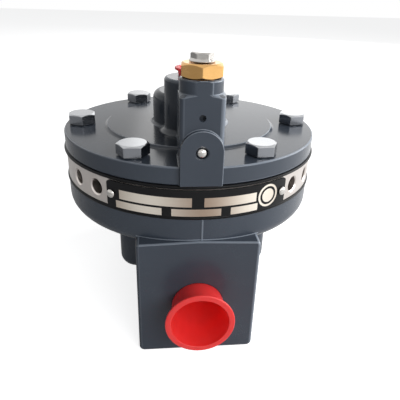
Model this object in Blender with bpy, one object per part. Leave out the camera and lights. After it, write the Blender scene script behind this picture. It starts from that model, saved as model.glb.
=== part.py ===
# Pneumatic volume booster: lower port casing, vented spacer ring, upper casing with its bypass tower,
# a twin diaphragm assembly, a two-seat valve, a bypass needle and the push-in port caps.
# Metres, +Z up. The origin is on the casing axis, on the flat base. The output port faces -Y.

import math

import bmesh
import bpy
from mathutils import Matrix, Vector

MM = 0.001
GAP = 0.3 * MM                      # between two pieces that seat on each other
OVERRUN = 1.0 * MM                  # how far a cutter runs past the face it cuts
EMBED = 2.0 * MM                    # how deep one form of a casting reaches into the next
LARGE_FACETS = 60
MEDIUM_FACETS = 24
SMALL_FACETS = 16
FINE_FACETS = 12
DISC_FACETS = 36
HEX_FACETS = 24                      # a multiple of six

# The flange's radius and the rim's height, from which the casings take their other radii and heights
FLANGE_RADIUS = 65.0 * MM
RIM_TOP = 72.0 * MM

# Lower casing
PORT_FACE = FLANGE_RADIUS           # from the axis to either port face
BLOCK_HALF_WIDTH = 27.7 * MM
BLOCK_HEIGHT = RIM_TOP - 10.5 * MM
BLOCK_FALL = 1.0 * MM               # the top falls this much from the parting line to its sides
BLOCK_CORNER = 2.5 * MM
BLOCK_EDGE = 1.2 * MM
PORT_HEIGHT = 27.8 * MM
PORT_RADIUS = 9.6 * MM
PORT_MOUTH_RADIUS = 11.4 * MM
PORT_TAPER_LENGTH = 14.0 * MM
PORT_CHAMFER = 0.7 * MM
SIDE_HALF_WIDTH = 39.1 * MM
SIDE_SHIFT = 1.2 * MM               # the side bosses reach further to the right
SIDE_HALF_LENGTH = 30.0 * MM
SIDE_CORNER = 9.0 * MM
SIDE_ROUND = 6.0 * MM
BOWL_RADIUS = FLANGE_RADIUS - 1.0 * MM
BOWL_BOTTOM = RIM_TOP - 15.5 * MM
SIDE_BOTTOM = BOWL_BOTTOM - 31.0 * MM
BOWL_ROUND = 7.0 * MM
CHAMBER_RADIUS = FLANGE_RADIUS - 19.0 * MM
CHAMBER_FLOOR = RIM_TOP - 11.0 * MM
RISER_RADIUS = 6.5 * MM
POCKET_RADIUS = 13.0 * MM
POCKET_FLOOR = 12.0 * MM
SEAT_BORE_RADIUS = 16.0 * MM
SEAT_LEDGE = CHAMBER_FLOOR - 15.0 * MM
RISER_OFFSET = SEAT_BORE_RADIUS + RISER_RADIUS + 5.0 * MM
OUTPUT_BORE_END = RISER_OFFSET - RISER_RADIUS - 1.0 * MM   # from the axis to the bore's blind end
GUIDE_RADIUS = 5.5 * MM
GUIDE_HEIGHT = 7.0 * MM
GUIDE_DEPTH = 4.0 * MM

# Stack of rings and diaphragms
DIAPHRAGM_THICKNESS = 0.8 * MM
RING_HEIGHT = 13.0 * MM
RING_RADIUS = FLANGE_RADIUS - 1.1 * MM
VENT_RADIUS = 3.7 * MM
VENT_ANGLES = (43.4, 56.7)          # degrees from the front, repeated on the four quarters
REAR_VENT_ANGLE = 6.7               # degrees to each side of the rear
ROLL_RADIUS = 4.2 * MM              # rolled convolution of each diaphragm
ROLL_CENTRE = CHAMBER_RADIUS - 7.0 * MM

# Upper casing
FLANGE_THICKNESS = 8.1 * MM
FLANGE_EDGE = 1.2 * MM
PLATEAU_RADIUS = CHAMBER_RADIUS - 4.5 * MM
PLATEAU_HEIGHT = 1.3 * MM
DOME_RADIUS = 19.0 * MM
DOME_HEIGHT = 17.6 * MM             # above the flange
DOME_ROUND = 3.5 * MM
DOME_FOOT = 2.2 * MM
DOME_WALL = 4.5 * MM
UPPER_CHAMBER_DEPTH = FLANGE_THICKNESS - 3.1 * MM
INPUT_OFFSET = 16.0 * MM            # from the axis to the input port, towards the front
INPUT_BOSS_RADIUS = 13.7 * MM
INPUT_BOSS_HEIGHT = 27.1 * MM
INPUT_BOSS_EDGE = 1.6 * MM
INPUT_RADIUS = 5.6 * MM
INPUT_MOUTH_RADIUS = 7.0 * MM
INPUT_TAPER_LENGTH = 9.0 * MM
INPUT_CHAMFER = 0.6 * MM

# Bypass tower, on the front edge of the flange
TOWER_OFFSET = FLANGE_RADIUS - 9.9 * MM   # from the axis to the needle
TOWER_HALF_WIDTH = 8.3 * MM
TOWER_HEIGHT = 28.6 * MM
TOWER_EDGE = 1.3 * MM
SHOULDER_SLOPE = 24.0               # degrees, on the tower's four corners
NECK_RADIUS = 8.8 * MM
NECK_HEIGHT = 34.0 * MM
WEB_HEIGHT = 14.5 * MM
LUG_RADIUS = 8.8 * MM
LUG_FACE = FLANGE_RADIUS + 0.5 * MM
LUG_CENTRE_HEIGHT = 6.7 * MM        # centre of the lug's round top, above the flange
LUG_THICKNESS = 4.5 * MM
CROSS_RADIUS = 2.0 * MM
CROSS_MOUTH_RADIUS = 2.5 * MM
CROSS_MOUTH_DEPTH = 0.9 * MM
BALL_RADIUS = 1.7 * MM
BALL_DEPTH = 1.2 * MM
POCKET_HOLE_RADIUS = 1.25 * MM
POCKET_HOLE_DEPTH = 3.0 * MM
POCKET_HOLE_HEIGHT = 19.9 * MM
NEEDLE_BORE_RADIUS = 4.0 * MM
NEEDLE_SEAT_HEIGHT = 3.0 * MM       # top of the bypass hole, above the flange
BYPASS_RADIUS = 1.6 * MM

# Cap screws
SCREW_CIRCLE = FLANGE_RADIUS - 9.4 * MM
SCREW_COUNT = 6
SCREW_FLATS = 12.7 * MM
SCREW_HEAD_HEIGHT = 5.3 * MM
SCREW_RADIUS = 3.95 * MM
HEX_FACE_SHARE = 0.94          # a hexagon's flat top, as a share of its width across flats
SCREW_DEPTH = 11.0 * MM             # how far the screws reach into the lower casing
SCREW_TURNS = (24, 22, 40, 15, 53, 30)   # degrees, as the heads came to rest when tightened

# Bypass bonnet and needle
BONNET_FLATS = 15.9 * MM
BONNET_TURN = 4.0                   # degrees, as it came to rest when tightened
BONNET_HEIGHT = 5.4 * MM
SPIGOT_RADIUS = 5.5 * MM
SPIGOT_LENGTH = 11.6 * MM
NEEDLE_THREAD_RADIUS = 3.0 * MM
NEEDLE_BODY_RADIUS = 3.5 * MM
NEEDLE_BODY_TOP = 18.0 * MM         # above the flange
NEEDLE_CONE_LENGTH = 4.2 * MM
NEEDLE_TIP_RADIUS = 0.5 * MM
NEEDLE_FLATS = 8.0 * MM
NEEDLE_FACE_SHARE = 0.9
NEEDLE_TURN = 34.0                  # degrees, as it came to rest when set
NEEDLE_COLLAR_RADIUS = 5.1 * MM
NEEDLE_COLLAR_HEIGHT = 1.0 * MM
NEEDLE_HEAD_HEIGHT = 3.4 * MM
SEAL_SECTION = 0.75 * MM
SEAL_HEIGHT = 14.0 * MM             # above the flange

# Diaphragm assembly
PLATE_RADIUS = CHAMBER_RADIUS - 15.0 * MM
PLATE_EDGE = 0.8 * MM
PLATE_THICKNESS = 1.6 * MM
HUB_RADIUS = 17.0 * MM
HUB_WAIST_RADIUS = 13.0 * MM
HUB_FLANGE_THICKNESS = 2.6 * MM
HUB_NOSE_RADIUS = 8.0 * MM
HUB_BORE_RADIUS = 4.6 * MM
HUB_ROOF = 3.0 * MM
HUB_PORT_RADIUS = 2.6 * MM
HUB_PORT_COUNT = 4
STUD_RADIUS = 4.0 * MM
HUB_NUT_FLATS = 13.0 * MM
HUB_NUT_HEIGHT = 4.5 * MM
EXHAUST_SEAT_RADIUS = 11.0 * MM
EXHAUST_SEAT_HEIGHT = 4.2 * MM
EXHAUST_LIP_HEIGHT = 0.8 * MM
LIP_WIDTH = 1.0 * MM

# Valve
STEM_RADIUS = 3.0 * MM
STEM_FOOT_CLEARANCE = 3.0 * MM      # below the stem, in its guide
EXHAUST_PLUG_RADIUS = 7.0 * MM
EXHAUST_PLUG_HEIGHT = 2.4 * MM
SEAT_OUTER_HEIGHT = 11.0 * MM
SEAT_ORIFICE_RADIUS = 7.5 * MM
SUPPLY_DISC_RADIUS = 10.5 * MM
SUPPLY_DISC_THICKNESS = 2.4 * MM
SUPPLY_CARRIER_THICKNESS = 3.0 * MM
SEAT_SEAL_SECTION = 0.9 * MM
VALVE_SPRING_RADIUS = 7.8 * MM
VALVE_SPRING_WIRE = 1.4 * MM
VALVE_SPRING_TURNS = 5
BIAS_SPRING_RADIUS = 10.6 * MM
BIAS_SPRING_WIRE = 1.4 * MM
BIAS_SPRING_TURNS = 4
POINTS_PER_TURN = 12

# Nameplate and its drive screws
PLATE_HALF_ANGLE = 37.8             # degrees
NAMEPLATE_THICKNESS = 0.5 * MM
NAMEPLATE_MARGIN = 0.5 * MM
DRIVE_SCREW_ANGLE = 35.6            # degrees
DRIVE_HEAD_RADIUS = 2.0 * MM
DRIVE_HEAD_HEIGHT = 1.2 * MM
DRIVE_SHOULDER = 0.8                # of the head's radius
DRIVE_SHOULDER_RISE = 0.6           # of the head's height
DRIVE_PIN_RADIUS = 0.9 * MM
DRIVE_PIN_LENGTH = 5.0 * MM

# Push-in caps
CAP_WALL = 1.0 * MM
CAP_RIM_THICKNESS = 1.2 * MM
CAP_STANDOFF = 14.0 * MM            # from the port face to the outside of the rim
CAP_RIM_RADIUS = 15.5 * MM
CAP_NECK_RADIUS = 13.9 * MM         # just under the rim
CAP_DEPTH = 13.0 * MM               # how far the cap reaches into the port
INPUT_CAP_STANDOFF = 4.4 * MM
INPUT_CAP_RIM_RADIUS = 8.7 * MM
INPUT_CAP_NECK_RADIUS = 7.4 * MM
INPUT_CAP_DEPTH = 8.5 * MM

# Heights worked out from the stack
LOWER_DIAPHRAGM_BOTTOM = RIM_TOP + GAP
LOWER_DIAPHRAGM_TOP = LOWER_DIAPHRAGM_BOTTOM + DIAPHRAGM_THICKNESS
RING_BOTTOM = LOWER_DIAPHRAGM_TOP + GAP
RING_TOP = RING_BOTTOM + RING_HEIGHT
UPPER_DIAPHRAGM_BOTTOM = RING_TOP + GAP
UPPER_DIAPHRAGM_TOP = UPPER_DIAPHRAGM_BOTTOM + DIAPHRAGM_THICKNESS
FLANGE_BOTTOM = UPPER_DIAPHRAGM_TOP + GAP
FLANGE_TOP = FLANGE_BOTTOM + FLANGE_THICKNESS
RING_MIDDLE = (RING_BOTTOM + RING_TOP) / 2
DOME_TOP = FLANGE_TOP + DOME_HEIGHT
DOME_CEILING = DOME_TOP - DOME_WALL
UPPER_CHAMBER_CEILING = FLANGE_BOTTOM + UPPER_CHAMBER_DEPTH
INPUT_FACE = FLANGE_TOP + INPUT_BOSS_HEIGHT
NECK_TOP = FLANGE_TOP + NECK_HEIGHT
CROSS_HEIGHT = FLANGE_TOP + LUG_CENTRE_HEIGHT - GAP
SCREW_HOLE_RADIUS = SCREW_RADIUS + GAP
BONNET_BOTTOM = NECK_TOP + GAP
BONNET_TOP = BONNET_BOTTOM + BONNET_HEIGHT
UPPER_PLATE_TOP = FLANGE_BOTTOM + PLATE_THICKNESS
LOWER_PLATE_BOTTOM = RIM_TOP - PLATE_THICKNESS
EXHAUST_SEAT_TOP = LOWER_PLATE_BOTTOM - GAP
EXHAUST_LIP = EXHAUST_SEAT_TOP - EXHAUST_SEAT_HEIGHT
EXHAUST_PLUG_TOP = EXHAUST_LIP - GAP
EXHAUST_PLUG_BOTTOM = EXHAUST_PLUG_TOP - EXHAUST_PLUG_HEIGHT
SUPPLY_DISC_TOP = SEAT_LEDGE - EXHAUST_LIP_HEIGHT - GAP
SUPPLY_DISC_BOTTOM = SUPPLY_DISC_TOP - SUPPLY_DISC_THICKNESS
CARRIER_TOP = SUPPLY_DISC_BOTTOM - GAP
CARRIER_BOTTOM = CARRIER_TOP - SUPPLY_CARRIER_THICKNESS
OUTPUT_AXIS = (0.0, -PORT_FACE, PORT_HEIGHT)
SUPPLY_AXIS = (0.0, PORT_FACE, PORT_HEIGHT)
INPUT_AXIS = (0.0, -INPUT_OFFSET, INPUT_FACE)
NEEDLE_AXIS = (0.0, -TOWER_OFFSET, NECK_TOP)
FORWARD = Matrix.Rotation(math.radians(90), 3, "X")       # turns +Z to -Y
BACKWARD = Matrix.Rotation(math.radians(-90), 3, "X")     # turns +Z to +Y


def clear_scene():
    for obj in list(bpy.data.objects):
        bpy.data.objects.remove(obj, do_unlink=True)


def principled(name, color, roughness, metallic):
    material = bpy.data.materials.new(name)
    material.use_nodes = True
    shader = material.node_tree.nodes["Principled BSDF"]
    shader.inputs["Base Color"].default_value = (*color, 1.0)
    shader.inputs["Roughness"].default_value = roughness
    shader.inputs["Metallic"].default_value = metallic
    return material


def add_object(name, bm, material=None, origin=(0.0, 0.0, 0.0), sharp=35):
    # The mesh is built in world places; its origin moves to the given point.
    bmesh.ops.translate(bm, verts=bm.verts, vec=-Vector(origin))
    bmesh.ops.recalc_face_normals(bm, faces=bm.faces)
    mesh = bpy.data.meshes.new(name)
    bm.to_mesh(mesh)
    bm.free()
    mesh.shade_smooth()
    mesh.set_sharp_from_angle(angle=math.radians(sharp))
    if material:
        mesh.materials.append(material)
    obj = bpy.data.objects.new(name, mesh)
    obj.location = origin
    bpy.context.scene.collection.objects.link(obj)
    return obj


def helper(name, bm):
    obj = add_object(name, bm)
    obj.hide_render = True
    obj.display_type = "WIRE"
    return obj


def combine(obj, other, operation):
    modifier = obj.modifiers.new(operation.lower() + "_" + other.name, "BOOLEAN")
    modifier.operation = operation
    modifier.object = other
    modifier.solver = "EXACT"


def cut(obj, name, bm):
    combine(obj, helper(name, bm), "DIFFERENCE")


def fuse(obj, name, bm):
    combine(obj, helper(name, bm), "UNION")


def arc(centre, radius, start, end, steps):
    # Points on an arc in a drawing plane, angles in degrees.
    points = []
    for i in range(steps + 1):
        angle = math.radians(start + (end - start) * i / steps)
        points.append((centre[0] + radius * math.cos(angle), centre[1] + radius * math.sin(angle)))
    return points


def revolve(profile, steps, angle=360.0, start=0.0):
    # Turns (radius, height) points about Z. A profile that doesn't end on the axis is closed on itself.
    bm = bmesh.new()
    turn = Matrix.Rotation(math.radians(start), 3, "Z")
    verts = [bm.verts.new(turn @ Vector((r, 0.0, z))) for r, z in profile]
    edges = [bm.edges.new(pair) for pair in zip(verts, verts[1:])]
    whole = angle == 360.0
    if profile[0][0] > 0:
        edges.append(bm.edges.new((verts[-1], verts[0])))
    if not whole:
        bm.faces.new(verts)
    spun = bmesh.ops.spin(bm, geom=verts + edges, cent=(0, 0, 0), axis=(0, 0, 1),
                          angle=math.radians(angle), steps=steps, use_merge=whole)
    if not whole:
        last = [v for v in spun["geom_last"] if isinstance(v, bmesh.types.BMVert)]
        bm.faces.new(last)
    bmesh.ops.remove_doubles(bm, verts=bm.verts, dist=1e-7)
    return bm


def bore(profile, steps):
    # A turned cutter, set half a facet round from the facets of what it cuts.
    return revolve(profile, steps, start=180 / steps)


def drill(radius, bottom, top, steps):
    return bore([(0, bottom), (radius, bottom), (radius, top), (0, top)], steps)


def moved(bm, place, rotation=None):
    if rotation:
        bmesh.ops.rotate(bm, verts=bm.verts, cent=(0, 0, 0), matrix=rotation)
    bmesh.ops.translate(bm, verts=bm.verts, vec=Vector(place))
    return bm


def merged(parts):
    # Several meshes in one, as for a set of holes cut together.
    whole = bmesh.new()
    for part in parts:
        mesh = bpy.data.meshes.new("part")
        part.to_mesh(mesh)
        part.free()
        whole.from_mesh(mesh)
        bpy.data.meshes.remove(mesh)
    return whole


def extruded(outline, depth):
    # A closed outline in XZ, extruded along +Y from the origin.
    bm = bmesh.new()
    face = bm.faces.new([bm.verts.new((x, 0.0, z)) for x, z in outline])
    sides = bmesh.ops.extrude_face_region(bm, geom=[face])
    tops = [v for v in sides["geom"] if isinstance(v, bmesh.types.BMVert)]
    bmesh.ops.translate(bm, verts=tops, vec=(0, depth, 0))
    return bm


def box(low, high):
    bm = bmesh.new()
    bmesh.ops.create_cube(bm, size=1.0)
    size = Vector(high) - Vector(low)
    bmesh.ops.scale(bm, verts=bm.verts, vec=size)
    bmesh.ops.translate(bm, verts=bm.verts, vec=Vector(low) + size / 2)
    return bm


def rounded(bm, width, segments, chosen):
    edges = [edge for edge in bm.edges if chosen(edge)]
    bmesh.ops.bevel(bm, geom=edges, offset=width, offset_type="OFFSET", segments=segments,
                    profile=0.5, affect="EDGES", clamp_overlap=True, material=-1)
    return bm


def upright(edge):
    a, b = (v.co for v in edge.verts)
    return (a - b).xy.length < 1e-7


def lofted(sections, steps, closed=False):
    # Joins rings of points. Each section gives (radius, height) at an angle.
    bm = bmesh.new()
    rings = []
    for section in sections:
        ring = []
        for i in range(steps):
            angle = 2 * math.pi * i / steps
            radius, height = section(angle)
            ring.append(bm.verts.new((radius * math.cos(angle), radius * math.sin(angle), height)))
        rings.append(ring)
    pairs = list(zip(rings, rings[1:]))
    if closed:
        pairs.append((rings[-1], rings[0]))
    else:
        bm.faces.new(rings[0])
        bm.faces.new(rings[-1])
    for low, high in pairs:
        for i in range(steps):
            j = (i + 1) % steps
            bm.faces.new((low[i], low[j], high[j], high[i]))
    return bm


def circle_at(radius, height):
    return lambda angle: (radius, height)


def hexagon_at(flats, height, start=None, turn=0.0):
    # A hexagon. With a start radius its corners are chamfered at 30 degrees from there.
    def section(angle):
        off = (angle + turn + math.pi / 6) % (math.pi / 3) - math.pi / 6
        radius = flats / 2 / math.cos(off)
        if start is None:
            return radius, height
        return radius, height - max(0.0, radius - start) * math.tan(math.radians(30))
    return section


def coil(name, radius, wire, bottom, top, turns, material, place):
    # A compression spring as a bevelled curve between two faces.
    curve = bpy.data.curves.new(name, "CURVE")
    curve.dimensions = "3D"
    curve.bevel_depth = wire / 2
    curve.bevel_resolution = 1
    curve.use_fill_caps = True
    spline = curve.splines.new("POLY")
    count = turns * POINTS_PER_TURN
    spline.points.add(count)
    low = bottom + wire / 2 + GAP
    high = top - wire / 2 - GAP
    for i in range(count + 1):
        angle = 2 * math.pi * i / POINTS_PER_TURN
        height = low + (high - low) * i / count
        spline.points[i].co = (radius * math.cos(angle), radius * math.sin(angle), height, 1.0)
    curve.materials.append(material)
    obj = bpy.data.objects.new(name, curve)
    obj.location = place
    bpy.context.scene.collection.objects.link(obj)
    return obj


def screw_places():
    # Six screws, the front pair 30 degrees to each side of the front.
    for i in range(SCREW_COUNT):
        angle = math.radians(-90 + 180 / SCREW_COUNT + 360 / SCREW_COUNT * i)
        yield SCREW_CIRCLE * math.cos(angle), SCREW_CIRCLE * math.sin(angle)


def clamp_holes(bottom, top):
    # The screw holes and the bypass hole that pass through every ring of the stack.
    holes = [moved(drill(SCREW_HOLE_RADIUS, bottom, top, SMALL_FACETS), (x, y, 0)) for x, y in screw_places()]
    holes.append(moved(drill(BYPASS_RADIUS, bottom, top, FINE_FACETS), (0, -TOWER_OFFSET, 0)))
    return merged(holes)


def port_cutter(mouth, inner, taper, chamfer, depth):
    # Chamfer, tapered thread and straight bore, opening at z = 0 and running down.
    start = mouth - (mouth - inner) * chamfer / taper
    return bore([(0, OVERRUN), (start + chamfer + OVERRUN, OVERRUN), (start, -chamfer), (inner, -taper),
                 (inner, -depth), (0, -depth)], MEDIUM_FACETS)


def lower_casing(material):
    w, h, c = BLOCK_HALF_WIDTH, BLOCK_HEIGHT, BLOCK_CORNER
    side_top = h - BLOCK_FALL
    outline = arc((w - c, c), c, -90, 0, 3)
    outline += arc((w - BLOCK_EDGE, side_top - BLOCK_EDGE), BLOCK_EDGE, 0, 90, 2)
    outline += [(0, h)]
    outline += arc((BLOCK_EDGE - w, side_top - BLOCK_EDGE), BLOCK_EDGE, 90, 180, 2)
    outline += arc((c - w, c), c, 180, 270, 3)
    block = moved(extruded(outline, 2 * PORT_FACE), (0, -PORT_FACE, 0))
    rounded(block, BLOCK_EDGE, 2, lambda e: abs(abs(e.verts[0].co.y) - PORT_FACE) < 1e-7
            and abs(abs(e.verts[1].co.y) - PORT_FACE) < 1e-7 and e.verts[0].co.y * e.verts[1].co.y > 0)
    body = add_object("lower_casing", block, material)

    side = box((SIDE_SHIFT - SIDE_HALF_WIDTH, -SIDE_HALF_LENGTH, SIDE_BOTTOM),
               (SIDE_SHIFT + SIDE_HALF_WIDTH, SIDE_HALF_LENGTH, BOWL_BOTTOM + EMBED))
    rounded(side, SIDE_CORNER, 4, upright)
    rounded(side, SIDE_ROUND, 3, lambda e: max(v.co.z for v in e.verts) < SIDE_BOTTOM + 1e-7)
    fuse(body, "side_boss", side)

    bowl = [(0, BOWL_BOTTOM)]
    bowl += arc((BOWL_RADIUS - BOWL_ROUND, BOWL_BOTTOM + BOWL_ROUND), BOWL_ROUND, -90, 0, 4)
    bowl += [(BOWL_RADIUS, RIM_TOP), (0, RIM_TOP)]
    fuse(body, "bowl", revolve(bowl, LARGE_FACETS))

    # One stepped cutter for the chamber, the seat ring's bore and the valve pocket round its stem guide.
    guide_top = POCKET_FLOOR + GUIDE_HEIGHT
    guide_hole = STEM_RADIUS + GAP
    guide_end = POCKET_FLOOR - GUIDE_DEPTH
    pocket = [(0, guide_end), (guide_hole, guide_end), (guide_hole, guide_top), (GUIDE_RADIUS, guide_top),
              (GUIDE_RADIUS, POCKET_FLOOR), (POCKET_RADIUS, POCKET_FLOOR),
              (POCKET_RADIUS, SEAT_LEDGE), (SEAT_BORE_RADIUS, SEAT_LEDGE), (SEAT_BORE_RADIUS, CHAMBER_FLOOR),
              (CHAMBER_RADIUS - 2 * EMBED, CHAMBER_FLOOR), (CHAMBER_RADIUS, CHAMBER_FLOOR + 2 * EMBED),
              (CHAMBER_RADIUS, RIM_TOP + OVERRUN), (0, RIM_TOP + OVERRUN)]
    cut(body, "pocket_cut", bore(pocket, LARGE_FACETS // 2))
    ports = (("output_port_cut", OUTPUT_AXIS, FORWARD, PORT_FACE - OUTPUT_BORE_END),
             ("supply_port_cut", SUPPLY_AXIS, BACKWARD, PORT_FACE - POCKET_RADIUS / 2))
    for name, axis, rotation, depth in ports:
        port = port_cutter(PORT_MOUTH_RADIUS, PORT_RADIUS, PORT_TAPER_LENGTH, PORT_CHAMFER, depth)
        cut(body, name, moved(port, axis, rotation))
    cut(body, "riser_cut", moved(drill(RISER_RADIUS, PORT_HEIGHT, CHAMBER_FLOOR + OVERRUN, MEDIUM_FACETS),
                                 (0, -RISER_OFFSET, 0)))
    hole_end = RIM_TOP - SCREW_DEPTH - GAP
    screw_holes = [moved(drill(SCREW_HOLE_RADIUS, hole_end, RIM_TOP + OVERRUN, SMALL_FACETS), (x, y, 0))
                   for x, y in screw_places()]
    screw_holes.append(moved(drill(BYPASS_RADIUS, PORT_HEIGHT, RIM_TOP + OVERRUN, FINE_FACETS),
                             (0, -TOWER_OFFSET, 0)))
    cut(body, "lower_hole_cut", merged(screw_holes))


def diaphragm(name, bottom, roll_side, centre_hole, material):
    # A flat disc with one rolled convolution, towards the vented side.
    top = bottom + DIAPHRAGM_THICKNESS
    outer = ROLL_RADIUS + DIAPHRAGM_THICKNESS / 2
    inner = ROLL_RADIUS - DIAPHRAGM_THICKNESS / 2
    if roll_side > 0:
        profile = [(RING_RADIUS, bottom)]
        profile += arc((ROLL_CENTRE, bottom), inner, 0, 180, 4)
        profile += [(centre_hole, bottom), (centre_hole, top)]
        profile += arc((ROLL_CENTRE, bottom), outer, 170, 10, 4)
        profile += [(RING_RADIUS, top)]
    else:
        profile = [(RING_RADIUS, bottom)]
        profile += arc((ROLL_CENTRE, top), outer, -10, -170, 4)
        profile += [(centre_hole, bottom), (centre_hole, top)]
        profile += arc((ROLL_CENTRE, top), inner, 180, 360, 4)
        profile += [(RING_RADIUS, top)]
    body = add_object(name, revolve(profile, DISC_FACETS), material, (0, 0, bottom))
    cut(body, name + "_hole_cut", clamp_holes(bottom - OVERRUN, top + OVERRUN))


def aimed(bm, angle):
    # Turns a part made along +Z outwards through the ring, at an angle from the front.
    return moved(bm, (0, 0, RING_MIDDLE), Matrix.Rotation(math.radians(angle), 3, "Z") @ FORWARD)


def pin_holes(inner, outer):
    return merged([aimed(drill(DRIVE_PIN_RADIUS + GAP, inner, outer, FINE_FACETS), side * DRIVE_SCREW_ANGLE)
                   for side in (-1, 1)])


def exhaust_ring(material):
    profile = [(CHAMBER_RADIUS, RING_BOTTOM), (RING_RADIUS, RING_BOTTOM), (RING_RADIUS, RING_TOP),
               (CHAMBER_RADIUS, RING_TOP)]
    body = add_object("exhaust_ring", revolve(profile, LARGE_FACETS), material)
    angles = [side * angle for side in (-1, 1) for angle in VENT_ANGLES]
    angles += [180 - angle for angle in angles]
    angles += [180 - REAR_VENT_ANGLE, 180 + REAR_VENT_ANGLE]
    vents = [aimed(drill(VENT_RADIUS, CHAMBER_RADIUS - OVERRUN, RING_RADIUS + OVERRUN, FINE_FACETS), angle)
             for angle in angles]
    cut(body, "vent_cut", merged(vents))
    cut(body, "pin_cut", pin_holes(RING_RADIUS - DRIVE_PIN_LENGTH - GAP, RING_RADIUS + OVERRUN))
    cut(body, "ring_hole_cut", clamp_holes(RING_BOTTOM - OVERRUN, RING_TOP + OVERRUN))


def tower_form():
    # A square tower with a coned shoulder on its corners and a round neck above.
    front = TOWER_OFFSET + TOWER_HALF_WIDTH
    top = FLANGE_TOP + TOWER_HEIGHT
    tower = box((-TOWER_HALF_WIDTH, -front, FLANGE_BOTTOM + EMBED),
                (TOWER_HALF_WIDTH, -TOWER_OFFSET + TOWER_HALF_WIDTH, NECK_TOP + OVERRUN))
    rounded(tower, TOWER_EDGE, 2, upright)
    form = helper("tower_form", tower)
    reach = 2 * TOWER_HALF_WIDTH
    fall = (reach - NECK_RADIUS) * math.tan(math.radians(SHOULDER_SLOPE))
    cone = revolve([(0, FLANGE_BOTTOM), (reach, FLANGE_BOTTOM), (reach, top - fall), (NECK_RADIUS, top),
                    (NECK_RADIUS, NECK_TOP), (0, NECK_TOP)], MEDIUM_FACETS)
    combine(form, helper("shoulder_cone", moved(cone, (0, -TOWER_OFFSET, 0))), "INTERSECT")
    return form


def lug_form():
    # A slab with a half-round top, on the flange's front edge.
    centre = FLANGE_TOP + LUG_CENTRE_HEIGHT
    low = FLANGE_BOTTOM + GAP
    crown = arc((0, centre), LUG_RADIUS, 0, 180, MEDIUM_FACETS // 2)
    outline = [(LUG_RADIUS, low)] + crown + [(-LUG_RADIUS, low)]
    return moved(extruded(outline, LUG_THICKNESS), (0, -LUG_FACE, 0))


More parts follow.
